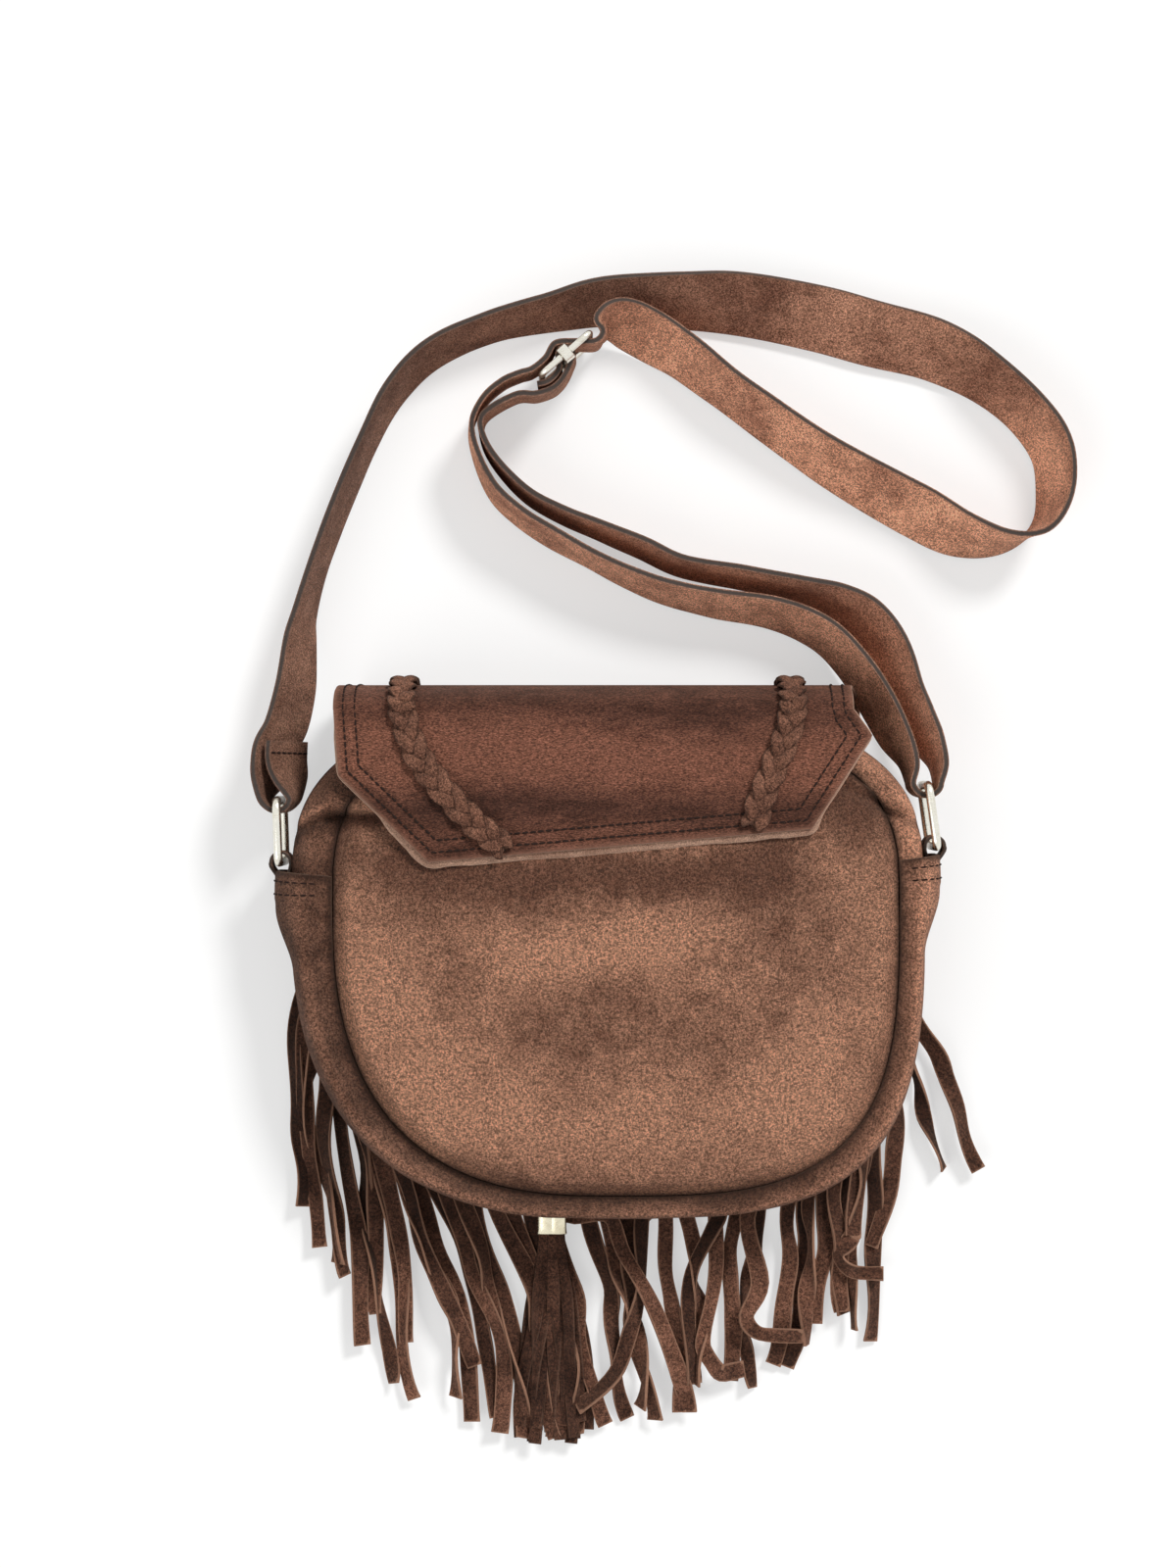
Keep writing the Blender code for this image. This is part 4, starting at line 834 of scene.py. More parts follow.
def teeth_tree() -> bpy.types.NodeTree:
    """A row of small zip teeth along a path."""
    links, given, end = new_tree(
        "zip teeth", {"Pitch": "Float", "Tooth": "Float", "Reach": "Float", "Material": "Material"}
    )
    curve = links.node("GeometryNodeMeshToCurve", Mesh=given["Geometry"])
    spots = links.node("GeometryNodeCurveToPoints", mode="LENGTH", Curve=curve.outputs[0], Length=given["Pitch"])
    size = links.node("ShaderNodeCombineXYZ", X=given["Reach"], Y=given["Reach"], Z=given["Tooth"])
    tooth = links.node("GeometryNodeMeshCube", Size=size.outputs[0])
    many = links.node(
        "GeometryNodeInstanceOnPoints", Points=spots.outputs["Points"], Instance=tooth.outputs[0],
        Rotation=spots.outputs["Rotation"],
    )
    return close_tree(links, many.outputs[0], given["Material"], end)


@dataclass
class Route:
    """One path for a geometry tree, with the masks that its strip follows."""

    points: list[Sequence[float]]
    twist: list[float] = field(default_factory=list)
    breadth: list[float] = field(default_factory=list)
    closed: bool = False


class Grower:
    """Runs geometry trees along paths and gives plain meshes."""

    def __init__(self, finishes: Finishes) -> None:
        """Builds each tree once."""
        self.finishes = finishes
        self.trees = {
            "stitch": stitch_tree(), "strip": strip_tree(), "wire": wire_tree(), "teeth": teeth_tree()
        }

    def grow(self, tree: str, routes: Sequence[Route], finish: Finish, **values: float) -> bpy.types.Mesh:
        """Grows a mesh along paths.

        Args:
            tree: The tree's key.
            routes: The paths.
            finish: The finish its faces get.
            **values: The tree's named inputs.

        Returns:
            The plain mesh.
        """
        host_mesh = bpy.data.meshes.new("paths")
        points: list[Sequence[float]] = []
        edges: list[tuple[int, int]] = []
        twist: list[float] = []
        breadth: list[float] = []
        for route in routes:
            base, count = len(points), len(route.points)
            points += [tuple(map(float, p)) for p in route.points]
            edges += [(base + i, base + i + 1) for i in range(count - 1)]
            if route.closed:
                edges.append((base + count - 1, base))
            twist += route.twist or [0.0] * count
            breadth += route.breadth or [1.0] * count
        host_mesh.from_pydata(points, edges, [])
        for title, mask in (("twist", twist), ("breadth", breadth)):
            host_mesh.attributes.new(title, "FLOAT", "POINT").data.foreach_set("value", mask)
        host = bpy.data.objects.new("paths", host_mesh)
        bpy.context.scene.collection.objects.link(host)
        step = host.modifiers.new("Grow", "NODES")
        step.node_group = self.trees[tree]
        values = {**values, "Material": self.finishes[finish]}
        for item in step.node_group.interface.items_tree:
            if item.in_out == "INPUT" and item.name in values:
                step[item.identifier] = values[item.name]
        graph = bpy.context.evaluated_depsgraph_get()
        grown = bpy.data.meshes.new_from_object(host.evaluated_get(graph))
        bpy.data.objects.remove(host, do_unlink=True)
        bpy.data.meshes.remove(host_mesh)
        return grown

    def piece(self, name: str, mesh: bpy.types.Mesh) -> bpy.types.Object:
        """Makes an object of a grown mesh."""
        mesh.name = name
        thing = bpy.data.objects.new(name, mesh)
        bpy.context.scene.collection.objects.link(thing)
        return thing


def keep(thing: bpy.types.Object, body: str, slot: str, *nodes: str) -> bpy.types.Object:
    """Rides a piece on a body and hides the solids that it stands for.

    Args:
        thing: The piece.
        body: The body that it moves with.
        slot: A material slot's name; not used.
        *nodes: The solids that it replaces.

    Returns:
        The piece.
    """
    if nodes:
        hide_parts(*nodes)
    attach(thing, body)
    LOG.info("%s: %d faces on %s", thing.name, len(thing.data.polygons), body)
    return thing


def disc(u: float, v: float) -> tuple[float, float]:
    """Turns a square's shares into a share of the radius and an angle, with even quads."""
    x, y = 2 * u - 1, 2 * v - 1
    share = max(abs(x), abs(y))
    if share == 0:
        return 0.0, 0.0
    if abs(x) >= abs(y):
        return share, math.pi / 4 * y / x + (0 if x > 0 else math.pi)
    return share, math.pi / 2 - math.pi / 4 * x / y + (0 if y > 0 else math.pi)


@dataclass
class Body:
    """The two panels, the bottom gusset with its folded ends, and the two puffed zip strips."""

    finishes: Finishes
    grower: Grower
    panel_points: int = 131
    gusset_end_left: float = 26 * MM
    gusset_end_right: float = 32 * MM
    strip_tuck: float = 9 * MM
    end_raise: float = 5.65 * MM
    end_flat: float = 13 * MM
    end_fade: float = 24 * MM
    hem: float = 11 * MM
    strip_edge: float = 0.60
    groove: float = 5.2 * MM
    roll: float = 2.0 * MM
    band_dip: float = 5.6 * MM
    left_crease: tuple[Plan, Plan, Plan] = (
        (-120 * MM, 41 * MM), (-104.4 * MM, 48 * MM), (-87.5 * MM, 47.4 * MM)
    )
    # Lighter and darker patches of the panel's nap; the dark ones just below the flap's edge and at the upper right are
    # painted shadow of the flap.
    nap_and_shadow_patches: tuple[tuple[float, ...], ...] = (
        (-64, -45, 48, 24, -35, 1.2), (-92, -4, 14, 32, 10, 0.8), (12, 2, 36, 11, 14, 1.7),
        (-20, -4, 22, 11, 0, 0.9), (-4, -69, 48, 17, 0, 0.8), (72, -56, 26, 32, 30, 1.3),
        (101, -9, 9, 32, 0, 0.6), (12, 25, 20, 8, 0, 0.2), (-74, 34, 26, 11, 0, -1.3),
        (-17, 24, 56, 9, 0, -0.9), (48, 24, 40, 12, 0, -0.9), (38, -38, 34, 18, -20, -0.15),
        (-9, -24, 34, 8, -8, 0.25), (66, -18, 22, 18, 0, 0.1), (-56, -12, 18, 9, 0, -0.5),
        (92, 54, 15, 12, 0, -1.8), (-40, -85, 30, 7, -12, -0.3),
    )

    def build(self) -> None:
        """Makes every piece of the body."""
        self.back_panel()
        self.front_panel()
        self.gusset()
        self.zip_strip("back", self.strip_edge, 1.0)
        self.zip_strip("front", 0.0, 1 - self.strip_edge)

    def groove_depth(self, angle: float) -> float:
        """Depth of the seam's groove: shallower at the upper right, and closed where the left fold crosses it."""
        turned = math.degrees(math.remainder(angle, 2 * math.pi))
        fold = smooth_step(turned, 148, 152) * (1 - smooth_step(turned, 159.5, 162))
        return self.groove * (1 - 0.9 * fold) * (1 - 0.45 * math.exp(-(((turned - 17) / 37) ** 2)))

    def puff(self, x: float, y: float) -> float:
        """Height of the folds that the zip strips press into the upper corners."""
        height = 0.0
        if x < -60 * MM:
            off = y - self.crease_line(x)
            height += 3.4 * MM * smooth_step(off, 0, 4 * MM) * (1 - smooth_step(off, 9 * MM, 20 * MM))
            height -= 3.2 * MM * math.exp(-((off / (1.8 * MM)) ** 2))
            height *= 1 - smooth_step(x, -88 * MM, -70 * MM)
        elif x > 70 * MM:
            off = y - (60 * MM - 0.5 * (x - 88 * MM))
            height += 3.0 * MM * smooth_step(off, 0, 4 * MM) * (1 - smooth_step(off, 7 * MM, 18 * MM))
            height -= 2.0 * MM * math.exp(-(((off + 1 * MM) / (2.4 * MM)) ** 2))
            height *= smooth_step(x, 78 * MM, 92 * MM)
        return height

    def shade(self, x: float, y: float) -> float:
        """How light the panel is painted at a point, about -1 to 1: the nap's brushed patches, painted shadow below the
        flap's edge and at the upper right, and painted light and shade at the upper folds.
        """
        total = 0.0
        for cx, cy, long, short, turn, strength in self.nap_and_shadow_patches:
            dx, dy = x / MM - cx, y / MM - cy
            c, s = math.cos(math.radians(turn)), math.sin(math.radians(turn))
            a, b = (dx * c + dy * s) / long, (dy * c - dx * s) / short
            total += strength * math.exp(-(a * a + b * b))
        # Painted light and shade at the upper folds: a painted lit ridge above each crease and painted shadow in it.
        if x < -84 * MM:
            off = (y - self.crease_line(x)) / MM
            total += 1.3 * math.exp(-(((off - 3.5) / 2.6) ** 2)) - 2.6 * math.exp(-(((off + 1.6) / 2.0) ** 2))
        elif x > 92 * MM:
            off = (y - 60 * MM + 0.5 * (x - 88 * MM)) / MM
            total += 1.5 * math.exp(-(((off - 3.0) / 2.4) ** 2)) - 1.5 * math.exp(-(((off + 1.6) / 2.0) ** 2))
        return max(-2.2, min(2.0, total))

    def crease_line(self, x: float) -> float:
        """Height on the plan of the crease below the upper left fold."""
        (x0, y0), (x1, y1), (x2, y2) = self.left_crease
        if x < x1:
            return y0 + (y1 - y0) * (x - x0) / (x1 - x0)
        return y1 + (y2 - y1) * (x - x1) / (x2 - x1)

    def back_panel(self) -> None:
        """The crowned back, which dips into its seam and carries soft dents, the nap's brushed patches and painted
        light and shade.
        """

        def place(u: float, v: float) -> Sequence[float]:
            share, angle = disc(u, v)
            radius = share * FORM.seam(angle)
            x, y = radius * math.cos(angle), FORM.centre_y + radius * math.sin(angle)
            z = FORM.back_seam_z + FORM.crown * (1 - share**FORM.crown_power)
            z -= self.groove_depth(angle) * smooth_step(share, 0.94, 1.0) ** 1.3
            calm = 1 - smooth_step(share, 0.85, 1.0)
            under_flap = 1 - smooth_step(y, 0.026, 0.040)
            z += 1.1 * MM * calm * ripple((x, y, 0), 46 * MM, 4.1) * under_flap
            z += 0.4 * MM * calm * ripple((x, y, 0), 15 * MM, 9.3) * under_flap
            z += 0.6 * MM * smooth_step(share, 0.75, 0.9) * calm * ripple((angle * 60 * MM, 0, 0), 9 * MM, 2.2)
            covered = abs(x) < 78 * MM
            z += 0.0 if covered else self.puff(x, y)
            return x, y, z

        grid = laid(place, self.panel_points, self.panel_points - 12)
        # The tone mask holds the nap's patches and the painted light and shade from shade().
        tones = np.array([[[self.shade(*point[:2]), 0.0] for point in row] for row in grid])
        shape = Shape()
        shape.add_sheet(grid, FORM.suede, tones=tones)
        panel = shape.finish("back_panel_suede", self.finishes[Finish.PANEL])
        keep(panel, "bag", "body_suede", "back_panel")

    def front_panel(self) -> None:
        """The front, which lies on the flap."""
        low = FORM.flap_suede + FORM.gap

        def place(u: float, v: float) -> Sequence[float]:
            share, angle = disc(u, v)
            radius = share * FORM.seam(angle)
            x, y = radius * math.cos(angle), FORM.centre_y + radius * math.sin(angle)
            z = low + (FORM.front_seam_z - low) * share**4
            z += FORM.suede + 0.0 * x
            return x, y, z

        shape = Shape()
        shape.add_sheet(laid(place, 61, 55), FORM.suede)
        panel = shape.finish("front_panel_suede", self.finishes[Finish.PANEL])
        keep(panel, "bag", "body_suede", "front_panel")

    def gusset_ends(self) -> tuple[float, float]:
        """The angles where the gusset starts on the left and ends on the right."""
        left = FORM.band_angle(self.gusset_end_left, True)
        return left, FORM.band_angle(self.gusset_end_right, False) + 2 * math.pi

    def gusset_point(self, angle: float, across: float) -> Vector:
        """A point of the gusset's outer face, with its raised, hemmed ends and rolled seam."""
        left, right = self.gusset_ends()
        from_end = min(angle - left, right - angle) * FORM.half_width
        fade = smooth_step(from_end, self.end_flat, self.end_flat + self.end_fade)
        hem = 0.8 * MM * (1 - smooth_step(from_end, self.hem - 0.6 * MM, self.hem + 0.6 * MM))
        point = FORM.band_point(angle, across, self.end_raise * (1 - fade))
        out = Vector((math.cos(angle), math.sin(angle), 0))
        lift = math.sin(math.pi * min(across, 1 - across) * 2) ** 0.8
        shape = ripple(point, 30 * MM, 6.6) * 0.7 * MM + ripple(point, 11 * MM, 1.6) * 0.25 * MM
        point += out * lift * (hem + shape * min(1, from_end / (5 * MM)))
        shoulder = math.exp(-(((across - 0.8) / 0.09) ** 2)) * self.roll * fade
        point.z += shoulder - self.dip(angle) * smooth_step(across, 0.84, 1.0)
        point += out * 0.5 * shoulder
        return point

    def dip(self, angle: float) -> float:
        """How far the band's back edge drops into the seam's groove."""
        return self.band_dip * self.groove_depth(angle) / self.groove

    def gusset(self) -> None:
        """The band round the bottom, with its double-stitched ends."""
        left, right = self.gusset_ends()

        def place(u: float, v: float) -> Sequence[float]:
            across = 0.5 - 0.5 * math.cos(math.pi * v) if 0 < v < 1 else v
            return self.gusset_point(left + (right - left) * u, 0.5 * across + 0.5 * v)

        grid = laid(place, 331, 45)
        # Painted light: a painted highlight along the band's crest, and the band painted paler on the right and darker
        # at the bottom left.
        crest = np.exp(-(((np.linspace(0, 1, 45) - 0.78) / 0.1) ** 2))[:, None]
        tones = np.zeros((45, 331, 2))
        side = [self.lit(left + (right - left) * i / 330) for i in range(331)]
        tones[..., 0] = 0.35 * crest + np.asarray(side)[None, :]
        shape = Shape()
        shape.add_sheet(grid, FORM.suede, tones=tones)
        band = shape.finish("gusset_suede", self.finishes[Finish.BAND])
        keep(band, "bag", "body_suede", "bottom_gusset")
        rows = []
        for end, turn in ((left, 1), (right, -1)):
            for distance in (3.4 * MM, 8.2 * MM):
                angle = end + turn * distance / FORM.half_width
                rows.append(Route([self.lifted(angle, i / 60) for i in range(6, 57)]))
        mesh = self.grower.grow("stitch", rows, Finish.THREAD, Pitch=3.4 * MM, Stitch=1.35 * MM, Thread=0.36 * MM)
        keep(self.grower.piece("gusset_end_stitches", mesh), "bag", "body_suede")

    @staticmethod
    def lit(angle: float) -> float:
        """How much paler the band is painted where the light falls: most on the right, least at the bottom left."""
        turned = math.remainder(angle, 2 * math.pi)
        right = math.exp(-(((turned + 0.1) / 0.75) ** 2))
        left = math.exp(-((math.remainder(angle - math.pi, 2 * math.pi) / 0.5) ** 2))
        return 0.4 * right - 0.12 * left - 0.1

    def lifted(self, angle: float, across: float) -> Vector:
        """A point just above the gusset's face."""
        point = self.gusset_point(angle, across)
        out = Vector((point.x, point.y - FORM.centre_y, (point.z - FORM.mid_z) * 1.6)).normalized()
        return point + out * 0.12 * MM

    def zip_strip(self, side: str, low: float, high: float) -> None:
        """One strip between a panel and the zip, puffed and creased at its ends.

        Args:
            side: back or front.
            low: Where the strip starts across the band.
            high: Where it ends.
        """
        tuck = self.strip_tuck / FORM.half_width
        left, right = self.gusset_ends()
        start, end = right - 2 * math.pi - tuck, left + tuck

        def place(u: float, v: float) -> Sequence[float]:
            angle = start + (end - start) * u
            across = low + (high - low) * v
            point = FORM.band_point(angle, across)
            out = Vector((math.cos(angle), math.sin(angle), 0))
            puff = math.sin(math.pi * v) ** 0.7
            seen = smooth_step(abs(point.x), 92 * MM, 104 * MM)
            fold = ripple((angle * 70 * MM, v * 12 * MM, 0), 10 * MM, 5.5 if side == "back" else 7.7)
            point += out * puff * fold * 1.2 * MM * seen
            crest = v if side == "back" else 1 - v
            ridge = math.exp(-(((crest - 0.5) / 0.2) ** 2)) * seen
            sign = 1 if side == "back" else -1
            point.z += sign * (0.6 * MM * ridge - 0.4 * MM * seen)
            if side == "back":
                point.z += self.puff(point.x, point.y) - self.dip(angle) * smooth_step(v, 0.62, 1.0)
            return point

        grid = laid(place, 301, 27)
        # Painted light: the strips are painted paler over their right half and a little at their left end, where the
        # light falls; the back strip also takes the folds' painted ridge light and crease shadow.
        light = [0.85 * smooth_step(1 - i / 300, 0.5, 0.85) + 0.12 * smooth_step(i / 300, 0.8, 1) for i in range(301)]
        tones = np.zeros((27, 301, 2))
        tones[..., 0] = np.asarray(light)[None, :]
        if side == "back":
            folds = [[self.shade(*point[:2]) if abs(point[0]) > 92 * MM else 0.0 for point in row] for row in grid]
            tones[..., 0] += 0.3 * np.asarray(folds)
        shape = Shape()
        shape.add_sheet(grid, FORM.suede, tones=tones)
        strip = shape.finish(f"zip_strip_{side}_suede", self.finishes[Finish.BAND])
        keep(strip, "bag", "zip_suede", f"zip_strip_{side}")


@dataclass
class Zip:
    """The zip: woven tapes, two rows of teeth, the slider and its pull."""

    finishes: Finishes
    grower: Grower
    tuck: float = 9 * MM
    tooth_pitch: float = 2.0 * MM
    proud: float = -0.5 * MM

    def build(self, body: Body) -> None:
        """Makes every piece of the zip."""
        tuck = self.tuck / FORM.half_width
        left, right = body.gusset_ends()
        start, end = right - 2 * math.pi + tuck, left - tuck
        for name, side in (("front", -1), ("back", 1)):
            points = []
            for i in range(241):
                point = FORM.band_point(start + (end - start) * i / 240, 0.5, self.proud)
                inward = Vector((-point.x, FORM.centre_y - point.y, 0)).normalized()
                point += inward * 0.85 * MM
                point.z = FORM.mid_z + side * 1.55 * MM
                points.append(point)
            rows = Shape()
            teeth = self.grower.grow(
                "teeth", [Route(points)], Finish.NICKEL, Pitch=self.tooth_pitch, Tooth=1.1 * MM, Reach=1.5 * MM
            )
            rows.add_mesh(teeth)
            cord = self.grower.grow("wire", [Route(points)], Finish.NICKEL, Radius=0.45 * MM, Sides=8)
            rows.add_mesh(cord)
            piece = rows.finish(f"zip_teeth_{name}", self.finishes[Finish.NICKEL])
            keep(piece, "bag", "pale_nickel", f"zip_coil_{name}")
            paint(f"zip_tape_{name}", self.finishes[Finish.TAPE])
        rounded_copy("zip_slider", "slider_body", "slider", self.finishes[Finish.NICKEL], 0.3 * MM)
        rounded_copy("zip_pull", "pull_tab", "pull", self.finishes[Finish.NICKEL], 0.25 * MM)


def paint(node: str, material: bpy.types.Material) -> None:
    """Gives a solid that stays its better material."""
    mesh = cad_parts[node].data
    mesh.materials.clear()
    mesh.materials.append(material)


def rounded_copy(node: str, name: str, body: str, material: bpy.types.Material, radius: float) -> None:
    """Replaces a metal solid with a copy that has rounded edges.

    Args:
        node: The solid.
        name: The new piece's name.
        body: The body that it moves with.
        material: Its material.
        radius: The rounding's radius.
    """
    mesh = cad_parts[node].data.copy()
    mesh.name = name
    mesh.materials.clear()
    mesh.materials.append(material)
    thing = bpy.data.objects.new(name, mesh)
    bpy.context.scene.collection.objects.link(thing)
    weld = thing.modifiers.new("Weld", "WELD")
    weld.merge_threshold = 0.02 * MM
    flat = thing.modifiers.new("Flat", "DECIMATE")
    flat.decimate_type = "DISSOLVE"
    flat.angle_limit = math.radians(2)
    soft = thing.modifiers.new("Round", "BEVEL")
    soft.width = radius
    soft.segments = 3
    soft.limit_method = "ANGLE"
    soft.angle_limit = math.radians(35)
    soft.harden_normals = True
    mesh.shade_smooth()
    graph = bpy.context.evaluated_depsgraph_get()
    made = bpy.data.meshes.new_from_object(thing.evaluated_get(graph))
    thing.modifiers.clear()
    thing.data = made
    keep(thing, body, "pale_nickel", node)


@dataclass
class Flap:
    """The folded flap: chamfered back part, fold, and the U-shaped front that lies on the table."""

    finishes: Finishes
    grower: Grower
    back_edge: tuple[Plan, Plan] = ((-67 * MM, 30.6 * MM), (76 * MM, 43 * MM))
    chamfer_top: tuple[Plan, Plan] = ((-101 * MM, 63 * MM), (99 * MM, 78 * MM))
    shoulder_x: Plan = (-103 * MM, 92 * MM)
    front_half: float = 98 * MM
    front_centre: float = 10 * MM
    front_depth: float = 105 * MM
    front_power: float = 2.3
    front_last: float = math.radians(82)
    rows: tuple[int, int, int] = (64, 26, 44)
    columns: int = 221
    stitch_rows: tuple[float, float] = (3.4 * MM, 7.8 * MM)
    outer_wall: float = 0.95 * MM
    lining_wall: float = 0.6 * MM

    def front_edge(self, angle: float, inward: float = 0.0) -> Plan:
        """The U-shaped edge of the front part, or a line inside it."""
        c, s = math.cos(angle), math.sin(angle)
        reach = (
            abs(c / (self.front_half - inward)) ** self.front_power
            + abs(s / (self.front_depth - inward)) ** self.front_power
        ) ** (-1 / self.front_power)
        return reach * c, self.front_centre + reach * s

    def lie(self, x: float, y: float) -> float:
        """Height of the back part, with its lifted edge and soft waves."""
        z = FORM.flap_height(x, y)
        (x0, y0), (x1, y1) = self.back_edge
        edge_y = y0 + (y1 - y0) * (x - x0) / (x1 - x0)
        near = math.exp(-max(y - edge_y, 0.0) / (9 * MM))
        calm = 1 - smooth_step(y, 70 * MM, 86 * MM)
        z += near * (0.6 + 0.8 * ripple((x, 0, 0), 38 * MM, 3.3)) * MM * calm
        return z + 0.5 * MM * ripple((x * 0.6, y * 1.7, 0), 22 * MM, 8.8) * calm

    def corners(self) -> list[Plan]:
        """The back part's cut edge from the left shoulder round to the right one."""
        (bl, br), (cl, cr) = self.back_edge, self.chamfer_top
        return [(self.shoulder_x[0], FORM.fold_start), cl, bl, br, cr, (self.shoulder_x[1], FORM.fold_start)]

    def from_edge(self, x: float, y: float) -> float:
        """Distance from a point of the back part to its cut edge."""
        nearest = 1.0
        for (x0, y0), (x1, y1) in zip(self.corners(), self.corners()[1:]):
            dx, dy = x1 - x0, y1 - y0
            t = max(0.0, min(1.0, ((x - x0) * dx + (y - y0) * dy) / (dx * dx + dy * dy)))
            nearest = min(nearest, math.hypot(x - x0 - t * dx, y - y0 - t * dy))
        return nearest

    def pucker(self, distance: float) -> float:
        """Height change near the stitch rows: a crease along each and a soft swell between them."""
        first, second = self.stitch_rows
        width = 0.9 * MM
        dips = math.exp(-(((distance - first) / width) ** 2)) + math.exp(-(((distance - second) / width) ** 2))
        swell = math.exp(-(((distance - (first + second) / 2) / (1.3 * MM)) ** 2))
        return 0.3 * MM * swell - 0.4 * MM * dips

    def shade(self, x: float, y: float) -> float:
        """Soft lighter and darker bands that run along the flap."""
        level = y / MM + 0.03 * x / MM + 3.0 * ripple((x, 0, 0), 60 * MM, 2.1)
        light = math.exp(-(((level - 69) / 9) ** 2)) * (0.6 + 0.5 * ripple((x, y, 0), 40 * MM, 6.3))
        dark = 0.9 * math.exp(-(((level - 50) / 8) ** 2)) + 0.6 * math.exp(-(((level - 89) / 7) ** 2))
        corner = 0.5 * math.exp(-((((x / MM) + 82) / 14) ** 2 + ((level - 55) / 14) ** 2))
        return light - dark + corner + 0.2

    def build(self) -> None:
        """Makes the flap and its stitches."""
        back, fold, front = self.rows
        levels: list[Callable[[float], Sequence[float]]] = []
        last = self.columns - 1
        shoulder = tuple((x, FORM.fold_start) for x in self.shoulder_x)
        stages = (self.back_edge, self.chamfer_top, shoulder)
        for step in range(back):
            share = step / back * 2
            index = min(int(share), 1)
            ends = [
                np.asarray(stages[index][s]) * (1 - share + index) + np.asarray(stages[index + 1][s]) * (share - index)
                for s in (0, 1)
            ]
            levels.append(lambda u, e=ends: self.back_point(e[0] + (e[1] - e[0]) * u))
        for step in range(fold + 1):
            turn = math.pi * step / fold
            levels.append(lambda u, t=turn: self.fold_point(u, t))
        for step in range(1, front + 1):
            x, y = self.front_edge(-self.front_last * step / front)
            levels.append(lambda u, x=x, y=y: (x * (2 * u - 1), y, 0.0))
        grid = np.array([[level(c / last) for c in range(self.columns)] for level in levels], float)
        tones = np.array([[[self.shade(*point[:2]), 0.0] for point in row] for row in grid])
        tones[back + fold // 2:] = 0.0
        walls = np.full(grid.shape[:2], FORM.flap_suede)
        walls[:back] = self.outer_wall
        shape = Shape()
        shape.add_sheet(grid, walls, bulge=0.25, tones=tones)
        flap = shape.finish("flap_nubuck", self.finishes[Finish.FLAP])
        keep(flap, "bag", "flap_suede", "flap")
        self.lining()
        self.stitches()

    def lining(self) -> None:
        """The lining's pale raw edge, which shows past the flap's cut edge."""
        path = spaced(self.corners(), 1.5 * MM)
        outer = []
        for i, (x, y) in enumerate(path):
            low = smooth_step(50 * MM - y, 0, 8 * MM)
            ragged = ripple((i * 1.5 * MM, 0, 0), 16 * MM, 4.4) * 0.7 + ripple((i * 1.5 * MM, 0, 0), 3 * MM, 1.4) * 0.25
            outer.append((0.5 + 2.0 * low + ragged * (0.35 + 0.65 * low)) * MM * smooth_step(84 * MM - y, 0, 9 * MM))
        inner, edge = inset(self.soften(path), 5 * MM), inset(self.soften(path), 0.0)

        def place(u: float, v: float) -> Sequence[float]:
            index = round(u * (len(path) - 1))
            start, end = Vector(inner[index]), Vector(edge[index])
            way = (end - start).normalized()
            point = start + way * ((end - start).length + outer[index]) * v
            hang = max((point - end).dot(way), 0.0)
            z = self.lie(end.x, max(end.y, point.y)) - self.outer_wall - 0.06 * MM - hang * 0.25
            return point.x, point.y, z

        shape = Shape()
        shape.add_sheet(laid(place, len(path), 9)[::-1], self.lining_wall, bulge=0.6, tones=(1.0, 0.0))
        piece = shape.finish("flap_lining_edge", self.finishes[Finish.LINING])
        keep(piece, "bag", "flap_suede")

    @staticmethod
    def soften(path: Sequence[Sequence[float]]) -> list[Plan]:
        """Rounds the path's corners a little by averaging neighbours."""
        rows = np.asarray(path, float)
        for _ in range(2):
            rows[1:-1] = (rows[:-2] + 2 * rows[1:-1] + rows[2:]) / 4
        return [tuple(row) for row in rows]

    def back_point(self, plan: Sequence[float]) -> Sequence[float]:
        """A point of the back part."""
        x, y = plan[0], plan[1]
        return x, y, self.lie(x, y) + self.pucker(self.from_edge(x, y)) * (1 - smooth_step(y, 80 * MM, 88 * MM))

    def fold_point(self, u: float, turn: float) -> Vector:
        """A point of the fold, whose front end narrows to the U's width."""
        left, right = self.shoulder_x
        x = left + (right - left) * u
        share = turn / math.pi
        narrow = self.front_half * (2 * u - 1)
        point = FORM.fold_point(x, turn)
        point.x = x + (narrow - x) * smooth_step(share, 0.3, 1.0)
        return point

    def stitches(self) -> None:
        """Two rows of dark stitches all round the flap's edge."""
        routes = []
        for distance in self.stitch_rows:
            plan = spaced(inset(self.corners(), distance), 1.6 * MM)
            over = [Vector((x, y, self.lie(x, y) - 0.12 * MM)) for x, y in plan]
            width = self.shoulder_x[1] - self.shoulder_x[0]
            left, right = [], []
            for i in range(1, 25):
                turn = math.pi * i / 24
                left.append(self.out_of_fold(distance / width, turn))
                right.append(self.out_of_fold(1 - distance / width, turn))
            under = []
            for i in range(0, 161):
                x, y = self.front_edge(math.pi + math.pi * i / 160, distance)
                under.append(Vector((x, y, -0.02 * MM)))
            routes.append(Route([*reversed(left), *over, *right]))
            routes.append(Route(under))
        mesh = self.grower.grow("stitch", routes, Finish.THREAD, Pitch=2.9 * MM, Stitch=1.25 * MM, Thread=0.42 * MM)
        keep(self.grower.piece("flap_stitches", mesh), "bag", "flap_suede")

    def out_of_fold(self, u: float, turn: float) -> Vector:
        """A point just outside the fold."""
        point = self.fold_point(u, turn)
        return point + Vector((0, math.sin(turn), math.cos(turn) * 0.3)) * 0.1 * MM


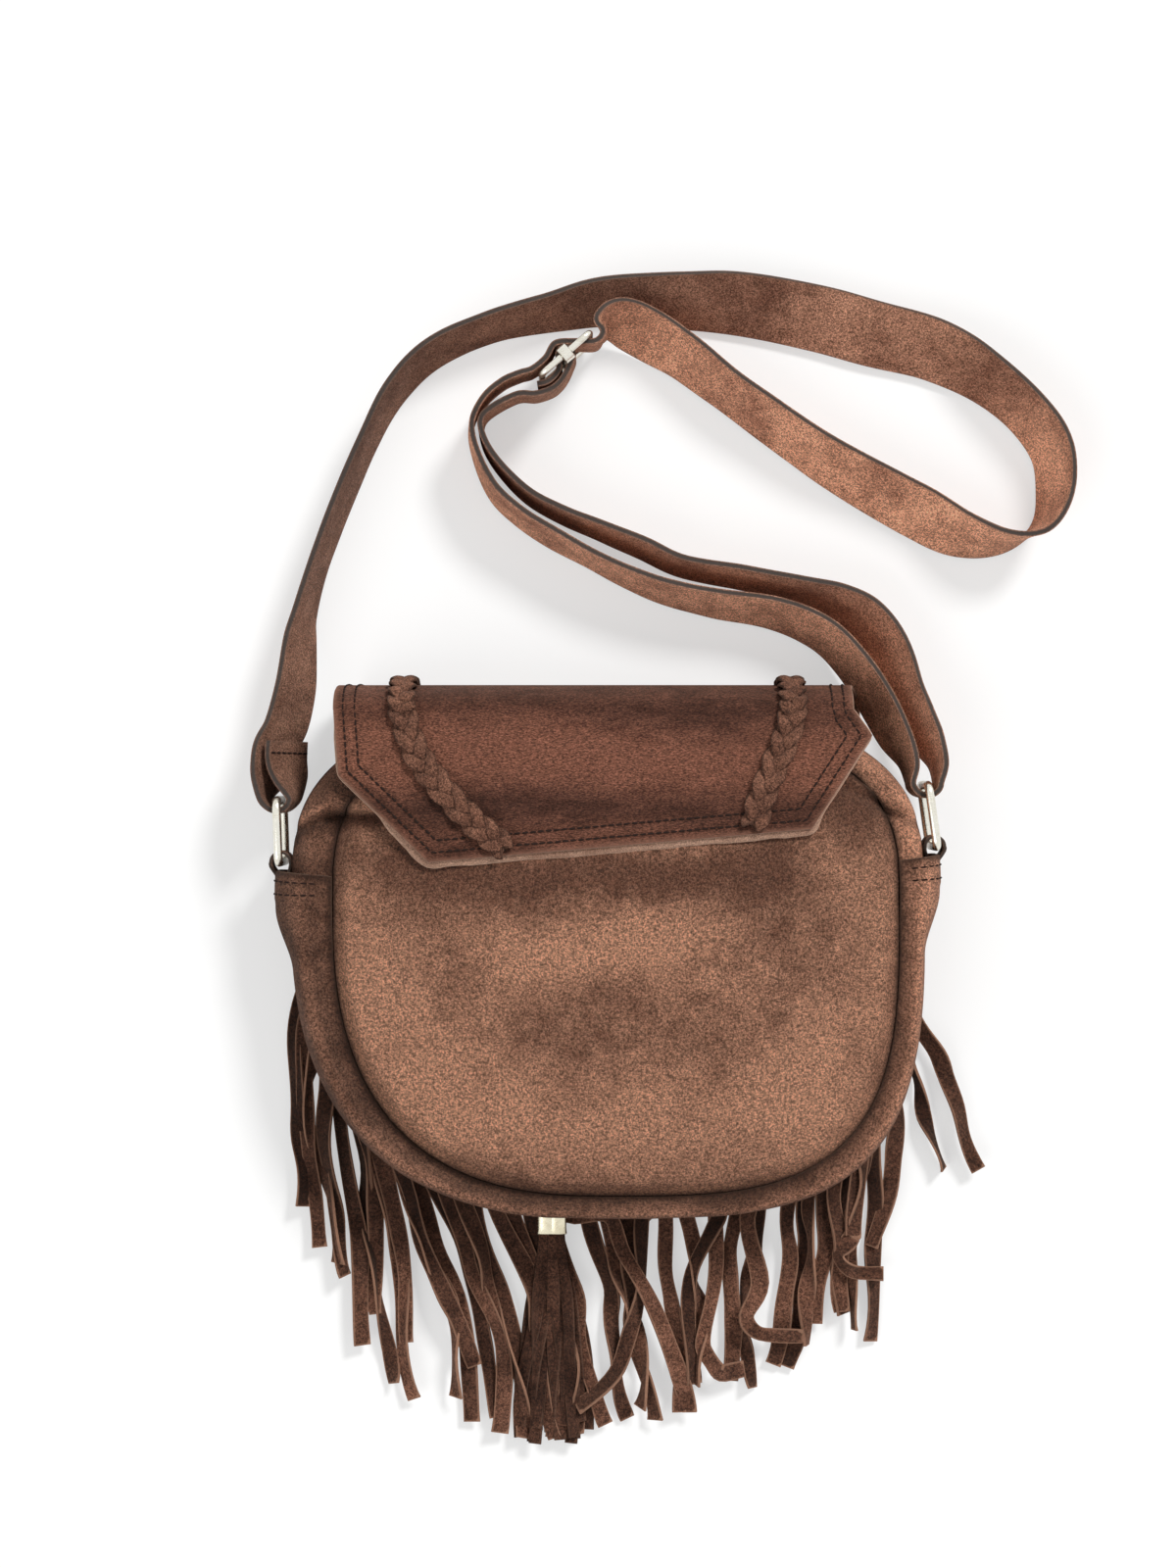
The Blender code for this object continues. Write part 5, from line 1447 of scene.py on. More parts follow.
@dataclass
class Braid:
    """One flat plait of three laces over the flap."""

    side: str
    route: tuple[Plan, ...]
    finishes: Finishes
    flap: Flap
    period: float = 23.5 * MM
    reach: float = 3.3 * MM
    rise: float = 1.2 * MM
    width: float = 4.8 * MM
    thickness: float = 1.1 * MM
    fold_turn: float = math.radians(135)

    def line(self, share: float, fold_share: float) -> Vector:
        """The plait's middle line on the flap."""
        if share < fold_share:
            x, below = through(self.route, share / fold_share) * MM
            y = FORM.fold_start + below
            return Vector((x, y, self.flap.lie(x, y)))
        return FORM.fold_point(self.route[-1][0] * MM, self.fold_turn * (share - fold_share) / (1 - fold_share))

    def out(self, share: float, fold_share: float) -> Vector:
        """The way out of the leather."""
        if share < fold_share:
            return Vector((0, 0, 1))
        turn = self.fold_turn * (share - fold_share) / (1 - fold_share)
        half = FORM.flap_height(self.route[-1][0] * MM, FORM.fold_start) / 2
        return Vector((0, math.sin(turn) / FORM.fold_depth, math.cos(turn) / half)).normalized()

    def build(self) -> None:
        """Makes the three laces."""
        flat = sum(math.dist(a, b) for a, b in zip(self.route, self.route[1:])) * MM
        fold = self.fold_turn * FORM.fold_depth * 2.1
        fold_share = flat / (flat + fold)
        turns = 2 * math.pi * (flat + fold) / self.period
        base = FORM.gap + self.rise + self.thickness

        for strand in range(3):
            phase = strand * 2 * math.pi / 3

            def middle(u: float) -> tuple[Vector, Vector, float]:
                here = self.line(u, fold_share)
                step = 0.004
                along = self.line(min(u + step, 1), fold_share) - self.line(max(u - step, 0), fold_share)
                out = self.out(u, fold_share)
                aside = along.normalized().cross(out).normalized()
                out = aside.cross(along).normalized()
                angle = turns * u + phase
                point = here + aside * self.reach * math.sin(angle)
                return point + out * (base + self.rise * math.sin(2 * angle)), out, angle

            def place(u: float, v: float) -> Sequence[float]:
                here, out, angle = middle(u)
                ahead = middle(min(u + 0.003, 1))[0] - middle(max(u - 0.003, 0))[0]
                aside = ahead.cross(out).normalized()
                taper = 0.92 + 0.18 * math.cos(angle) ** 2
                frayed = 1 + 0.14 * ripple(here, 2.2 * MM, phase)
                offset = self.width * (0.5 - v) * taper * frayed
                crown = -0.75 * MM * (2 * v - 1) ** 2
                return here + aside * offset + out * crown

            grid = laid(place, 230, 7)
            shape = Shape()
            shape.add_sheet(grid, self.thickness, bulge=0.25)
            name = f"braid_{self.side}_lace_{strand + 1}"
            lace = shape.finish(name, self.finishes[Finish.BRAID])
            keep(lace, "bag", "braid_suede", f"braid_{self.side}_strand_{strand + 1}")


@dataclass
class Fringe:
    """The header under the flap's edge and its long cut strips."""

    finishes: Finishes
    grower: Grower
    flap: Flap
    seed: int = 7
    start: float = math.radians(187)
    end: float = math.radians(349)
    header: float = 9 * MM
    strip: float = 1.0 * MM
    width: float = 6.6 * MM
    header_top: float = 2.95 * MM
    steps: int = 44
    tips: tuple[Plan, ...] = (
        (-115, -101), (-112, -120), (-104, -126), (-101, -131), (-94, -158), (-88, -146), (-84, -173),
        (-78, -157), (-75, -179), (-67, -186), (-58, -178), (-51, -188), (-45, -186), (-41, -192),
        (-36, -194), (-29, -193), (-23, -194), (-17, -194), (-9, -193), (-3, -189), (1, -188), (7, -187),
        (12, -182), (17, -187), (22, -180), (31, -184), (34, -173), (38, -170), (44, -180), (50, -172),
        (56, -175), (61, -168), (66, -166), (72, -167), (78, -158), (83, -150), (88, -146), (91, -145),
        (96, -152), (103, -157), (104, -126), (106, -120), (130, -90), (143, -90),
    )
    special: dict[int, tuple[tuple[float, float, float], ...]] = field(default_factory=lambda: {
        0: ((-118, -22, 4), (-122, -45, 5), (-121, -70, 6), (-117, -88, 6), (-117, -104, 5)),
        1: ((-117, -32, 6), (-118, -55, 7), (-115, -78, 7), (-113, -98, 6), (-112, -120, 5)),
        2: ((-112, -40, 5), (-115, -62, 6), (-112, -84, 6), (-108, -104, 6), (-105, -126, 5)),
        3: ((-109, -48, 7), (-111, -70, 8), (-107, -92, 7), (-103, -112, 6), (-101, -131, 5)),
        20: ((1, -108, 6), (8, -123, 8), (17, -144, 9), (26, -164, 8), (32, -184, 4)),
        24: ((14, -108, 3), (14, -130, 5), (9, -150, 7), (2, -168, 6), (-11, -182, 5)),
        31: ((54, -108, 5), (57, -134, 6), (55, -147, 7), (61, -153, 8), (75, -154, 8)),
        28: ((42, -104, 4), (43, -127, 6), (38, -152, 7), (38, -162, 7), (43, -168, 8), (53, -167, 6)),
        27: ((43, -106, 5), (41, -114, 7), (34, -131, 6), (31, -153, 6), (32, -173, 4)),
        40: ((95, -106, 5), (94, -116, 6), (90, -123, 7), (97, -129, 8), (106, -130, 6)),
        9: ((-76, -100, 5), (-72, -120, 7), (-64, -137, 8), (-57, -150, 8), (-50, -166, 6)),
    })

    def shadow(self, point: Vector) -> float:
        """How much darker a strip is near the body."""
        return 0.5 * smooth_step(point.y, -150 * MM, -98 * MM)

    def roots(self) -> list[tuple[Vector, Vector]]:
        """Each strip's root on the flap's edge, and the way out from it."""
        samples = [self.start + (self.end - self.start) * i / 400 for i in range(401)]
        edge = [Vector(self.flap.front_edge(a)) for a in samples]
        lengths = np.cumsum([0.0] + [(b - a).length for a, b in zip(edge, edge[1:])])
        centre = Vector((0, self.flap.front_centre))
        found = []
        for index in range(len(self.tips)):
            at = (index + 0.5) / len(self.tips) * lengths[-1]
            point = Vector((np.interp(at, lengths, [p.x for p in edge]), np.interp(at, lengths, [p.y for p in edge])))
            found.append((point, (point - centre).normalized()))
        return found

    def route(self, index: int, root: Vector, out: Vector, draw: random.Random) -> Route:
        """Lays one strip from its root to its tip.

        Args:
            index: The strip's number from the left.
            root: Where it leaves the header.
            out: The way out of the header.
            draw: Seeded random numbers.

        Returns:
            Its path with twist and breadth.
        """
        tip = Vector(self.tips[index]) * MM
        layer = (1.0 + 1.25 * ((index * 2) % 3)) * MM
        knots = [(root - out * 4 * MM).to_3d(), root.to_3d(), (root + out * 13 * MM).to_3d()]
        for knot in knots:
            knot.z = self.header_top - 0.45 * MM
        if index in self.special:
            knots += [Vector(p) * MM for p in self.special[index]]
        else:
            start = root + out * 13 * MM
            bow = draw.uniform(-4, 4) * MM
            for share in (0.3, 0.52, 0.76, 1.0):
                x = start.x + (tip.x - start.x) * smooth_step(share, -0.2, 0.95)
                y = start.y + (tip.y - start.y) * share
                x += bow * math.sin(math.pi * share) + draw.uniform(-1.8, 1.8) * MM * share
                knots.append(Vector((x, y, layer + draw.uniform(0.0, 2.2) * MM * share)))
        wave, phase = draw.uniform(0.9, 2.4) * MM, draw.uniform(0, 2 * math.pi)
        shiver, quick = draw.uniform(0.2, 0.8) * MM, draw.uniform(6, 9)
        curl, turn_phase = draw.uniform(0.25, 0.95), draw.uniform(0, 2 * math.pi)
        if index % 4 == 2:
            curl = 1.35
        points, twist, breadth = [], [], []
        for i in range(self.steps + 1):
            share = i / self.steps
            point = Vector(through(knots, share))
            free = smooth_step(share, 0.3, 0.6)
            side = Vector((1, 0, 0))
            point += side * wave * math.sin(3.2 * math.pi * share + phase) * free
            point += side * shiver * math.sin(quick * math.pi * share + 2 * phase) * free
            turn = curl * math.sin((1.6 + 0.2 * quick) * math.pi * share + turn_phase) * free
            point.z += abs(math.sin(turn)) * self.width * 0.42
            points.append(point)
            twist.append(turn)
            breadth.append(0.94 + 0.1 * math.sin(9 * share + phase) + 0.05 * math.sin(31 * share + turn_phase))
        return Route(points, twist, breadth)

    def build(self) -> None:
        """Makes the header band and the strips as one piece."""
        draw = random.Random(self.seed)
        routes = [self.route(i, root, out, draw) for i, (root, out) in enumerate(self.roots())]
        shape = Shape()
        for number, route in enumerate(routes):
            mesh = self.grower.grow("strip", [route], Finish.FRINGE, Width=self.width, Thickness=self.strip)
            own = draw.uniform(0.0, 0.3) if number % 3 else draw.uniform(0.35, 0.75)
            shape.add_mesh(mesh, narrow=0.5 * MM, tone=lambda p, own=own: own + self.shadow(p))

        def place(u: float, v: float) -> Sequence[float]:
            angle = self.start + (self.end - self.start) * u
            edge = Vector(self.flap.front_edge(angle))
            inward = (Vector((0, self.flap.front_centre)) - edge).normalized()
            point = edge + inward * (self.header - (self.header - 1.0 * MM) * v)
            return point.x, point.y, self.header_top

        shape.add_sheet(laid(place, 161, 5), self.strip)
        piece = shape.finish("fringe_strips", self.finishes[Finish.FRINGE])
        keep(piece, "bag", "fringe_suede", "fringe")


@dataclass
class Tassel:
    """The crimped cap, its thong and the rolled bundle of cut strips."""

    finishes: Finishes
    grower: Grower
    x: float = -21.5 * MM
    top_y: float = -103.5 * MM
    width: float = 11.2 * MM
    height: float = 5.6 * MM
    length: float = 11 * MM
    low_z: float = 3.2 * MM
    wall: float = 0.6 * MM
    strips: int = 20
    reach: float = 88 * MM

    def build(self) -> None:
        """Makes the cap, the thong and the strips."""
        mid_z = self.low_z + self.height / 2
        self.cap(mid_z)
        self.thong(mid_z)
        self.bundle(mid_z)

    def cap(self, mid_z: float) -> None:
        """A strip of plate bent round the bundle, its two curled ends meeting on top."""

        def place(u: float, v: float) -> Sequence[float]:
            turn = math.radians(97) - math.radians(374) * u
            power = 2 / 3.2
            c, s = math.cos(turn), math.sin(turn)
            x = self.width / 2 * math.copysign(abs(c) ** power, c)
            z = self.height / 2 * math.copysign(abs(s) ** power, s)
            ends = smooth_step(abs(2 * u - 1), 0.93, 1.0)
            flare = 1 + 0.05 * abs(2 * v - 1) ** 6
            y = self.top_y - self.length * v
            return self.x + x * flare, y, mid_z + z * flare - ends * 0.9 * MM

        shape = Shape()
        shape.add_sheet(laid(place, 73, 15)[:, ::-1], self.wall, bulge=0.3)
        keep(shape.finish("tassel_clamp", self.finishes[Finish.GILT]), "bag", "pale_nickel", "tassel_cap")

    def thong(self, mid_z: float) -> None:
        """The flat lace from the fringe's header into the cap."""
        start, end = -89 * MM, self.top_y - 4 * MM
        points = []
        for i in range(15):
            share = i / 14
            z = 4.0 * MM + (mid_z - 4.0 * MM) * smooth_step(share, 0.4, 0.9)
            points.append((self.x, start + (end - start) * share, z))
        mesh = self.grower.grow("strip", [Route(points)], Finish.FRINGE, Width=3.6 * MM, Thickness=1.0 * MM)
        shape = Shape()
        shape.add_mesh(mesh, narrow=0.5 * MM)
        keep(shape.finish("tassel_lace", self.finishes[Finish.FRINGE]), "bag", "fringe_suede", "tassel_thong")

    def bundle(self, mid_z: float) -> None:
        """The cut strips, held tight in the cap and spread below it."""
        draw = random.Random(23)
        shape = Shape()
        low = self.top_y - self.length
        for number in range(self.strips):
            share = (number % 5) / 4 - 0.5
            layer = number // 5
            spread = share * (27 - 3 * layer) * MM + draw.uniform(-2.5, 2.5) * MM
            reach = self.reach - draw.uniform(0, 9) * MM
            height = (1.6 + 1.5 * layer) * MM
            phase, curl = draw.uniform(0, 6.28), draw.uniform(0.1, 0.8)
            points, twist = [], []
            for i in range(27):
                at = i / 26
                free = smooth_step(at, 0.1, 0.5)
                x = self.x + share * 7 * MM + (spread - share * 7 * MM) * smooth_step(at, 0.05, 0.9)
                x += 1.1 * MM * math.sin(7 * at + phase) * free
                y = low + 6 * MM - reach * at
                z = mid_z + (layer - 1.5) * 1.1 * MM
                z += (height - z) * free + free * 0.8 * MM * math.sin(5 * at + phase)
                turn = curl * math.sin(5 * at + phase) * free
                points.append((x, y, z + abs(math.sin(turn)) * 2 * MM))
                twist.append(turn)
            breadth = [0.6 + 0.4 * smooth_step(i / 26, 0.08, 0.35) for i in range(27)]
            mesh = self.grower.grow(
                "strip", [Route(points, twist, breadth)], Finish.FRINGE, Width=4.9 * MM, Thickness=1.0 * MM
            )
            own = draw.uniform(0.6, 0.85)
            shape.add_mesh(mesh, narrow=0.5 * MM, tone=lambda p, own=own: own, raw=0.45)
        piece = shape.finish("tassel_bundle", self.finishes[Finish.FRINGE])
        keep(piece, "bag", "fringe_suede", "tassel_strips")


@dataclass
class RingAndTab:
    """One wire ring on its straight bar, and the folded tab that holds the bar."""

    side: str
    bar_y: float
    end_y: float
    lean: float
    finishes: Finishes
    grower: Grower
    wire: float = 3.3 * MM
    height: float = 23.5 * MM
    corner: float = 3.5 * MM
    half_width: float = 15.45 * MM
    bar_x: float = 124.5 * MM
    tab_width: float = 14 * MM
    tab_wall: float = 1.1 * MM
    tab_hole: float = 2.05 * MM
    tab_tail: float = 12 * MM

    @property
    def sign(self) -> int:
        """-1 on the left and 1 on the right."""
        return -1 if self.side == "left" else 1

    @property
    def bar(self) -> Vector:
        """The middle of the bar."""
        return Vector((self.sign * self.bar_x, self.bar_y, FORM.mid_z))

    @property
    def up(self) -> Vector:
        """The way from the bar to the top rail."""
        lean = math.radians(self.lean)
        return Vector((-math.sin(lean), math.cos(lean), 0))

    def build(self) -> None:
        """Makes the ring and the tab."""
        points = wire_loop(
            self.bar + self.up * self.height / 2, Vector((0, 0, 1)), self.up,
            self.half_width, self.height / 2, self.corner,
        )
        route = Route(points, closed=True)
        mesh = self.grower.grow("wire", [route], Finish.NICKEL, Radius=self.wire / 2, Sides=20)
        piece = self.grower.piece(f"ring_{self.side}_wire", mesh)
        keep(piece, f"{self.side}_ring", "pale_nickel", f"ring_{self.side}")
        self.tab()

    def tab(self) -> None:
        """A leather tab folded round the bar, its two tails closed together below it and lying against the gusset; the
        stitches that hold them are not drawn.
        """
        radius = self.tab_hole + self.tab_wall
        inner = self.sign * (FORM.half_width + FORM.gap)
        tail_y = self.end_y - self.tab_tail
        path = [Vector((self.bar.x + self.sign * radius, tail_y))]
        path += [Vector((self.bar.x + self.sign * radius, tail_y + (self.bar_y - tail_y) * s)) for s in (0.3, 0.6, 0.9)]
        for step in range(13):
            turn = math.pi * step / 12
            path.append(self.bar.to_2d() + Vector((self.sign * radius * math.cos(turn), radius * math.sin(turn))))
        path += [Vector((inner, tail_y + (self.bar_y - tail_y) * s)) for s in (0.9, 0.6, 0.3, 0.0)]
        flat = smooth_tail(path, self.bar_y, self.bar.x - self.sign * 1.0 * MM, self.tab_wall)

        def place(u: float, v: float) -> Sequence[float]:
            x, y = through(flat, u)
            return x, y, FORM.mid_z + self.tab_width * (0.5 - v) * self.sign

        shape = Shape()
        shape.add_sheet(laid(place, 60, 9), self.tab_wall)
        piece = shape.finish(f"ring_tab_{self.side}_suede", self.finishes[Finish.STRAP])
        keep(piece, "bag", "strap_suede", f"ring_tab_{self.side}")


def smooth_tail(path: list[Vector], bar_y: float, middle: float, wall: float) -> list[Plan]:
    """Closes the two tails of a tab against each other below the bar."""
    closed = []
    for point in path:
        pinch = smooth_step(bar_y - point.y, 1.5 * MM, 7 * MM)
        side = 1 if point.x > middle else -1
        closed.append((point.x + (middle + side * wall * 0.95 - point.x) * pinch, point.y))
    return closed


def wire_loop(
    centre: Vector, first: Vector, second: Vector, first_half: float, second_half: float, corner: float
) -> list[Vector]:
    """Points of a rounded rectangle in the plane of two directions.

    Args:
        centre: Its middle.
        first: Direction of its first half size.
        second: Direction of its second half size.
        first_half: Half its size along first.
        second_half: Half its size along second.
        corner: Radius of its corners.

    Returns:
        The loop's points in order.
    """
    points = []
    for quarter, (sx, sy) in enumerate(((1, 1), (-1, 1), (-1, -1), (1, -1))):
        hub_a, hub_b = sx * (first_half - corner), sy * (second_half - corner)
        for step in range(9):
            angle = math.radians(90 * quarter + 90 * step / 8)
            a, b = hub_a + corner * math.cos(angle), hub_b + corner * math.sin(angle)
            points.append(centre + first * a + second * b)
    return points


@dataclass
class Strap:
    """The long two-layer strap and its wire slider."""

    finishes: Finishes
    grower: Grower
    left: RingAndTab
    right: RingAndTab
    width: float = 26 * MM
    thickness: float = 2.2 * MM
    end_loop: float = 5.4 * MM
    swing_room: float = 1.1 * MM
    floor_gap: float = 0.3 * MM
    slider_middle: Plan = (-16.0, 223.0)
    slider_angle: float = math.radians(41)
    slider_lift: float = 6.2 * MM
    slider_wire: float = 2.6 * MM
    slider_length: float = 24 * MM
    side_room: float = 1.8 * MM
    # How pale each stretch along the strap is painted: partly the suede's own lighter and darker stretches, partly
    # painted light on stretches that face the light.
    run_tones: tuple[float, ...] = (
        0.1, 0.1, 0.0, 0.05, 0.1, 0.0, 0.12, 0.18, 0.4, 0.8, 1.0, 1.0, 1.0, 0.6, 0.5, 0.85, 1.0, 1.0,
        0.9, 0.6, 0.55, 0.6, 0.55, 0.4, 0.35, 0.3, 0.25, 0.25, 0.25, 0.25, 0.2,
    )

    def slider_place(self, u: float, w: float) -> Plan:
        """A plan point along and across the slider, in millimetres."""
        c, s = math.cos(self.slider_angle), math.sin(self.slider_angle)
        return self.slider_middle[0] + c * u - s * w, self.slider_middle[1] + s * u + c * w

    @property
    def ring_lift(self) -> float:
        """Lift of the strap's lower edge where it passes a ring, in millimetres."""
        return (FORM.mid_z - self.width / 2 - self.floor_gap) / MM

    def around(self, ring: RingAndTab, first: float, last: float, steps: int, lean: float = 0) -> list[tuple]:
        """Knots where the strap turns round a ring's top rail."""
        rail = ring.bar + ring.up * ring.height
        slack = self.end_loop - self.thickness / 2 - ring.wire / 2 - self.swing_room
        centre = rail + ring.up * slack
        knots = []
        for step in range(steps + 1):
            angle = math.radians(first + (last - first) * step / steps)
            x = centre.x + self.end_loop * math.cos(angle)
            y = centre.y + self.end_loop * math.sin(angle)
            knots.append((x / MM, y / MM, self.ring_lift, lean * (2 * step / steps - 1) ** 3))
        return knots

    def from_rail(self, ring: RingAndTab, offsets: Sequence[tuple]) -> list[tuple]:
        """Knots given from the middle of a ring's top rail."""
        rail = ring.bar + ring.up * ring.height
        return [
            (rail.x / MM + x, rail.y / MM + y, self.ring_lift * share, lean) for x, y, share, lean in offsets
        ]

    def knots(self) -> list[tuple]:
        """The whole route as plan point, lift of the lower edge and lean, in millimetres and degrees."""
        lift = (self.slider_lift - self.floor_gap) / MM
        knots = self.from_rail(self.left, [(2.6, 22.6, 0.94, -28), (2.4, 15.5, 0.96, -28), (3.9, 8.6, 0.98, -22)])
        knots += self.around(self.left, 0, -180, 6, lean=6)
        knots += self.from_rail(self.left, [(-4.4, 7.5, 1, 20), (-3.9, 13.5, 0.95, 25), (-2.4, 20.5, 0.85, 28), (1.9, 28.5, 0.6, 30)])
        knots += [
            (-120, 97, 4, 28), (-118.4, 115.6, 1.5, 22), (-116.4, 127, 0, 14), (-111, 145.5, 0, 10),
            (-102.6, 168, 0, 10), (-91.4, 194, 0, 12), (-81.3, 212, 0, 15), (-67, 226, 0, 18),
            (-45, 236, 0, 20), (-22.4, 241.5, 0, 24), (0, 246, 0, 34), (29.8, 246.5, 0, 46),
            (52, 245.5, 0, 56), (82, 240, 0, 63), (104, 234, 0, 66), (126.8, 227.5, 0, 54),
            (145.5, 217, 0, 38), (162, 203, 0, 32), (171.6, 188.4, 0, 30), (172.7, 171.6, 0, 22),
            (167, 158.5, 0, 6), (153, 153.3, 0, -14), (136, 156.3, 0, -34), (119.4, 165.2, 0, -42),
            (100.7, 175.3, 0, -40), (82, 186.5, 0, -36), (63.4, 199.5, 0, -32), (44.8, 213, 0, -28),
            (29.8, 224.5, 0, -34), (17, 232.5, 0.5, -40), (6, 237.5, 2, -36), (-1, 236.5, 4, -18),
        ]
        weave = [(16.5, -2.6), (12, -3.4), (6.5, 1.2), (0, 5.9), (-6.5, 4.2), (-13.2, 4.4), (-18.0, 6.5)]
        knots += [(*self.slider_place(u, w), lift, 0) for u, w in weave]
        knots += [
            (-40.6, 213.4, 3, 0), (-47.6, 207.3, 1.5, 0), (-52.4, 198.0, 0, 2), (-50.6, 186.7, 0, 4),
            (-44.2, 173.0, 0, 6), (-34.1, 163.1, 0, 8), (-21.3, 154.8, 0, 10), (-6.5, 146.7, 0, 10),
            (8.3, 139.4, 0, 12), (23.0, 133.7, 0, 14), (41.4, 129.4, 0, 18), (64.2, 125.6, 0, 22),
            (82.2, 117.9, 0.5, 24), (94.8, 105.4, 2, 24),
        ]
        knots += self.from_rail(self.right, [(-17.0, 30.8, 0.35, 26), (-10.8, 18.1, 0.7, 22), (-6.3, 8.8, 0.95, 10)])
        knots += self.around(self.right, 180, 360, 6)
        knots += self.from_rail(
            self.right, [(5.0, 8.5, 0.97, -9), (1.0, 17.3, 0.85, -22), (-3.8, 26.3, 0.6, -30), (-8.4, 36, 0.3, -36)]
        )
        knots += [
            (107.4, 111.5, 1, -38),
            (99.4, 123.7, 0, -32), (89.4, 130.2, 0, -24), (75.6, 134.5, 0, -16), (51.9, 139.3, 0, -14),
            (29.2, 143.6, 0, -12), (13.9, 150.5, 0, -12), (-0.9, 156.7, 0, -10), (-15.9, 162.8, 0, -8),
            (-29.9, 170.3, 0, -6), (-40.8, 180.9, 0, -4), (-47.4, 191.5, 1, -2), (-47.6, 200.6, 2.5, 0),
        ]
        back = [(-24.6, 1.2), (-18.4, -3.6), (-12.6, -6.1), (-8.6, -6.3), (-4.8, -5.4), (-1.2, -3.8), (2.4, -1.6)]
        back += [(2.5, 1.3), (1.1, 2.6), (-0.7, 2.75), (-2.3, 1.7), (-3.6, -0.3), (-5.3, -2.3), (-8.6, -3.3)]
        back += [(-12.0, -3.1), (-15.4, -1.4)]
        return knots + [(*self.slider_place(u, w), lift, 0) for u, w in back]

    def build(self) -> None:
        """Makes the strap and the slider."""
        knots = self.knots()
        columns = 9 * (len(knots) - 1) + 1
        half = self.thickness / 2

        def line(share: float) -> tuple[Vector, float]:
            x, y, lift, lean = through(knots, share)
            free = smooth_step(share, 0.12, 0.15) * (1 - smooth_step(share, 0.38, 0.41))
            free += 0.5 * smooth_step(share, 0.5, 0.52) * (1 - smooth_step(share, 0.59, 0.61))
            waver = ripple((share * 1.35, 0, 0), 34 * MM, 3.3) + 0.5 * ripple((share * 1.35, 0, 0), 15 * MM, 8.1)
            lean = math.radians(lean + 6.0 * free * waver)
            z = self.floor_gap + max(lift, 0) * MM + self.width / 2 * math.cos(lean) + abs(half * math.sin(lean))
            return Vector((x * MM, y * MM, z)), lean

        def place(u: float, v: float) -> Sequence[float]:
            step = 0.25 / columns
            here, lean = line(u)
            along = line(min(u + step, 1.0))[0] - line(max(u - step, 0.0))[0]
            along.z = 0
            along.normalize()
            aside = Vector((-along.y, along.x, 0))
            across = Vector((0, 0, 1)) * math.cos(lean) + aside * math.sin(lean)
            face = across.cross(along).normalized()
            edge = 1 + 0.012 * ripple((u * 1.35, v, 0), 9 * MM, 5.2)
            dent = ripple(here + across * v * 0.02, 14 * MM, 2.7) * 0.16 * MM
            return here + across * (self.width * (v - 0.5) * edge) - face * (half + dent)

        grid = laid(place, columns, 7)
        # Both faces take each stretch's tone, partly painted light.
        along = np.linspace(0, 1, columns)
        runs = [through([(v,) for v in self.run_tones], a)[0] for a in along]
        tones = np.repeat(np.asarray(runs)[None, :, None], 7, axis=0) * np.ones((1, 1, 2))
        shape = Shape()
        shape.add_sheet(grid, self.thickness, bulge=-0.18, tones=tones)
        piece = shape.finish("strap_suede_layers", self.finishes[Finish.STRAP])
        keep(piece, "bag", "strap_suede", "strap")
        rows = []
        for u in (0.0062,):
            proud = Vector((self.thickness + 0.1 * MM, 0, 0.9 * MM))
            rows.append(Route([Vector(place(u, 0.08 + 0.84 * i / 20)) + proud for i in range(21)]))
        mesh = self.grower.grow("stitch", rows, Finish.THREAD, Pitch=3.4 * MM, Stitch=1.5 * MM, Thread=0.4 * MM)
        keep(self.grower.piece("strap_end_stitches", mesh), "bag", "strap_suede")
        self.slider()

    def slider(self) -> None:
        """The wire frame and the bar whose ends curl round it."""
        along = Vector((math.cos(self.slider_angle), math.sin(self.slider_angle), 0))
        centre = Vector((self.slider_middle[0] * MM, self.slider_middle[1] * MM, self.slider_lift + self.width / 2))
        half_tall = self.width / 2 + self.side_room + self.slider_wire / 2
        points = wire_loop(centre, along, Vector((0, 0, 1)), self.slider_length / 2, half_tall, 3 * MM)
        radius = self.slider_wire / 2
        mesh = self.grower.grow("wire", [Route(points, closed=True)], Finish.NICKEL, Radius=radius, Sides=20)
        piece = self.grower.piece("strap_slider_wire", mesh)
        keep(piece, "bag", "pale_nickel", "strap_slider_frame")
        hole, wall = radius + 0.3 * MM, 0.9 * MM
        reach = half_tall - hole - wall / 2
        ends = [centre + Vector((0, 0, s * reach)) for s in (-1, -0.5, 0, 0.5, 1)]
        shape = Shape()
        shape.add_mesh(self.grower.grow("wire", [Route(ends)], Finish.NICKEL, Radius=radius, Sides=20))
        aside = Vector((-along.y, along.x, 0))
        for side in (-1, 1):
            hub = centre + Vector((0, 0, side * half_tall))

            def place(u: float, v: float, hub: Vector = hub, side: int = side) -> Sequence[float]:
                turn = math.radians(-90 * side + 8 + 344 * u)
                out = aside * math.cos(turn) + Vector((0, 0, 1)) * math.sin(turn)
                return hub + out * (hole + wall) + along * 3.8 * MM * (0.5 - v)

            grid = laid(place, 33, 5)
            shape.add_sheet(grid, wall)
        piece = shape.finish("strap_slider_post", self.finishes[Finish.NICKEL])
        keep(piece, "bag", "pale_nickel", "strap_slider_bar")


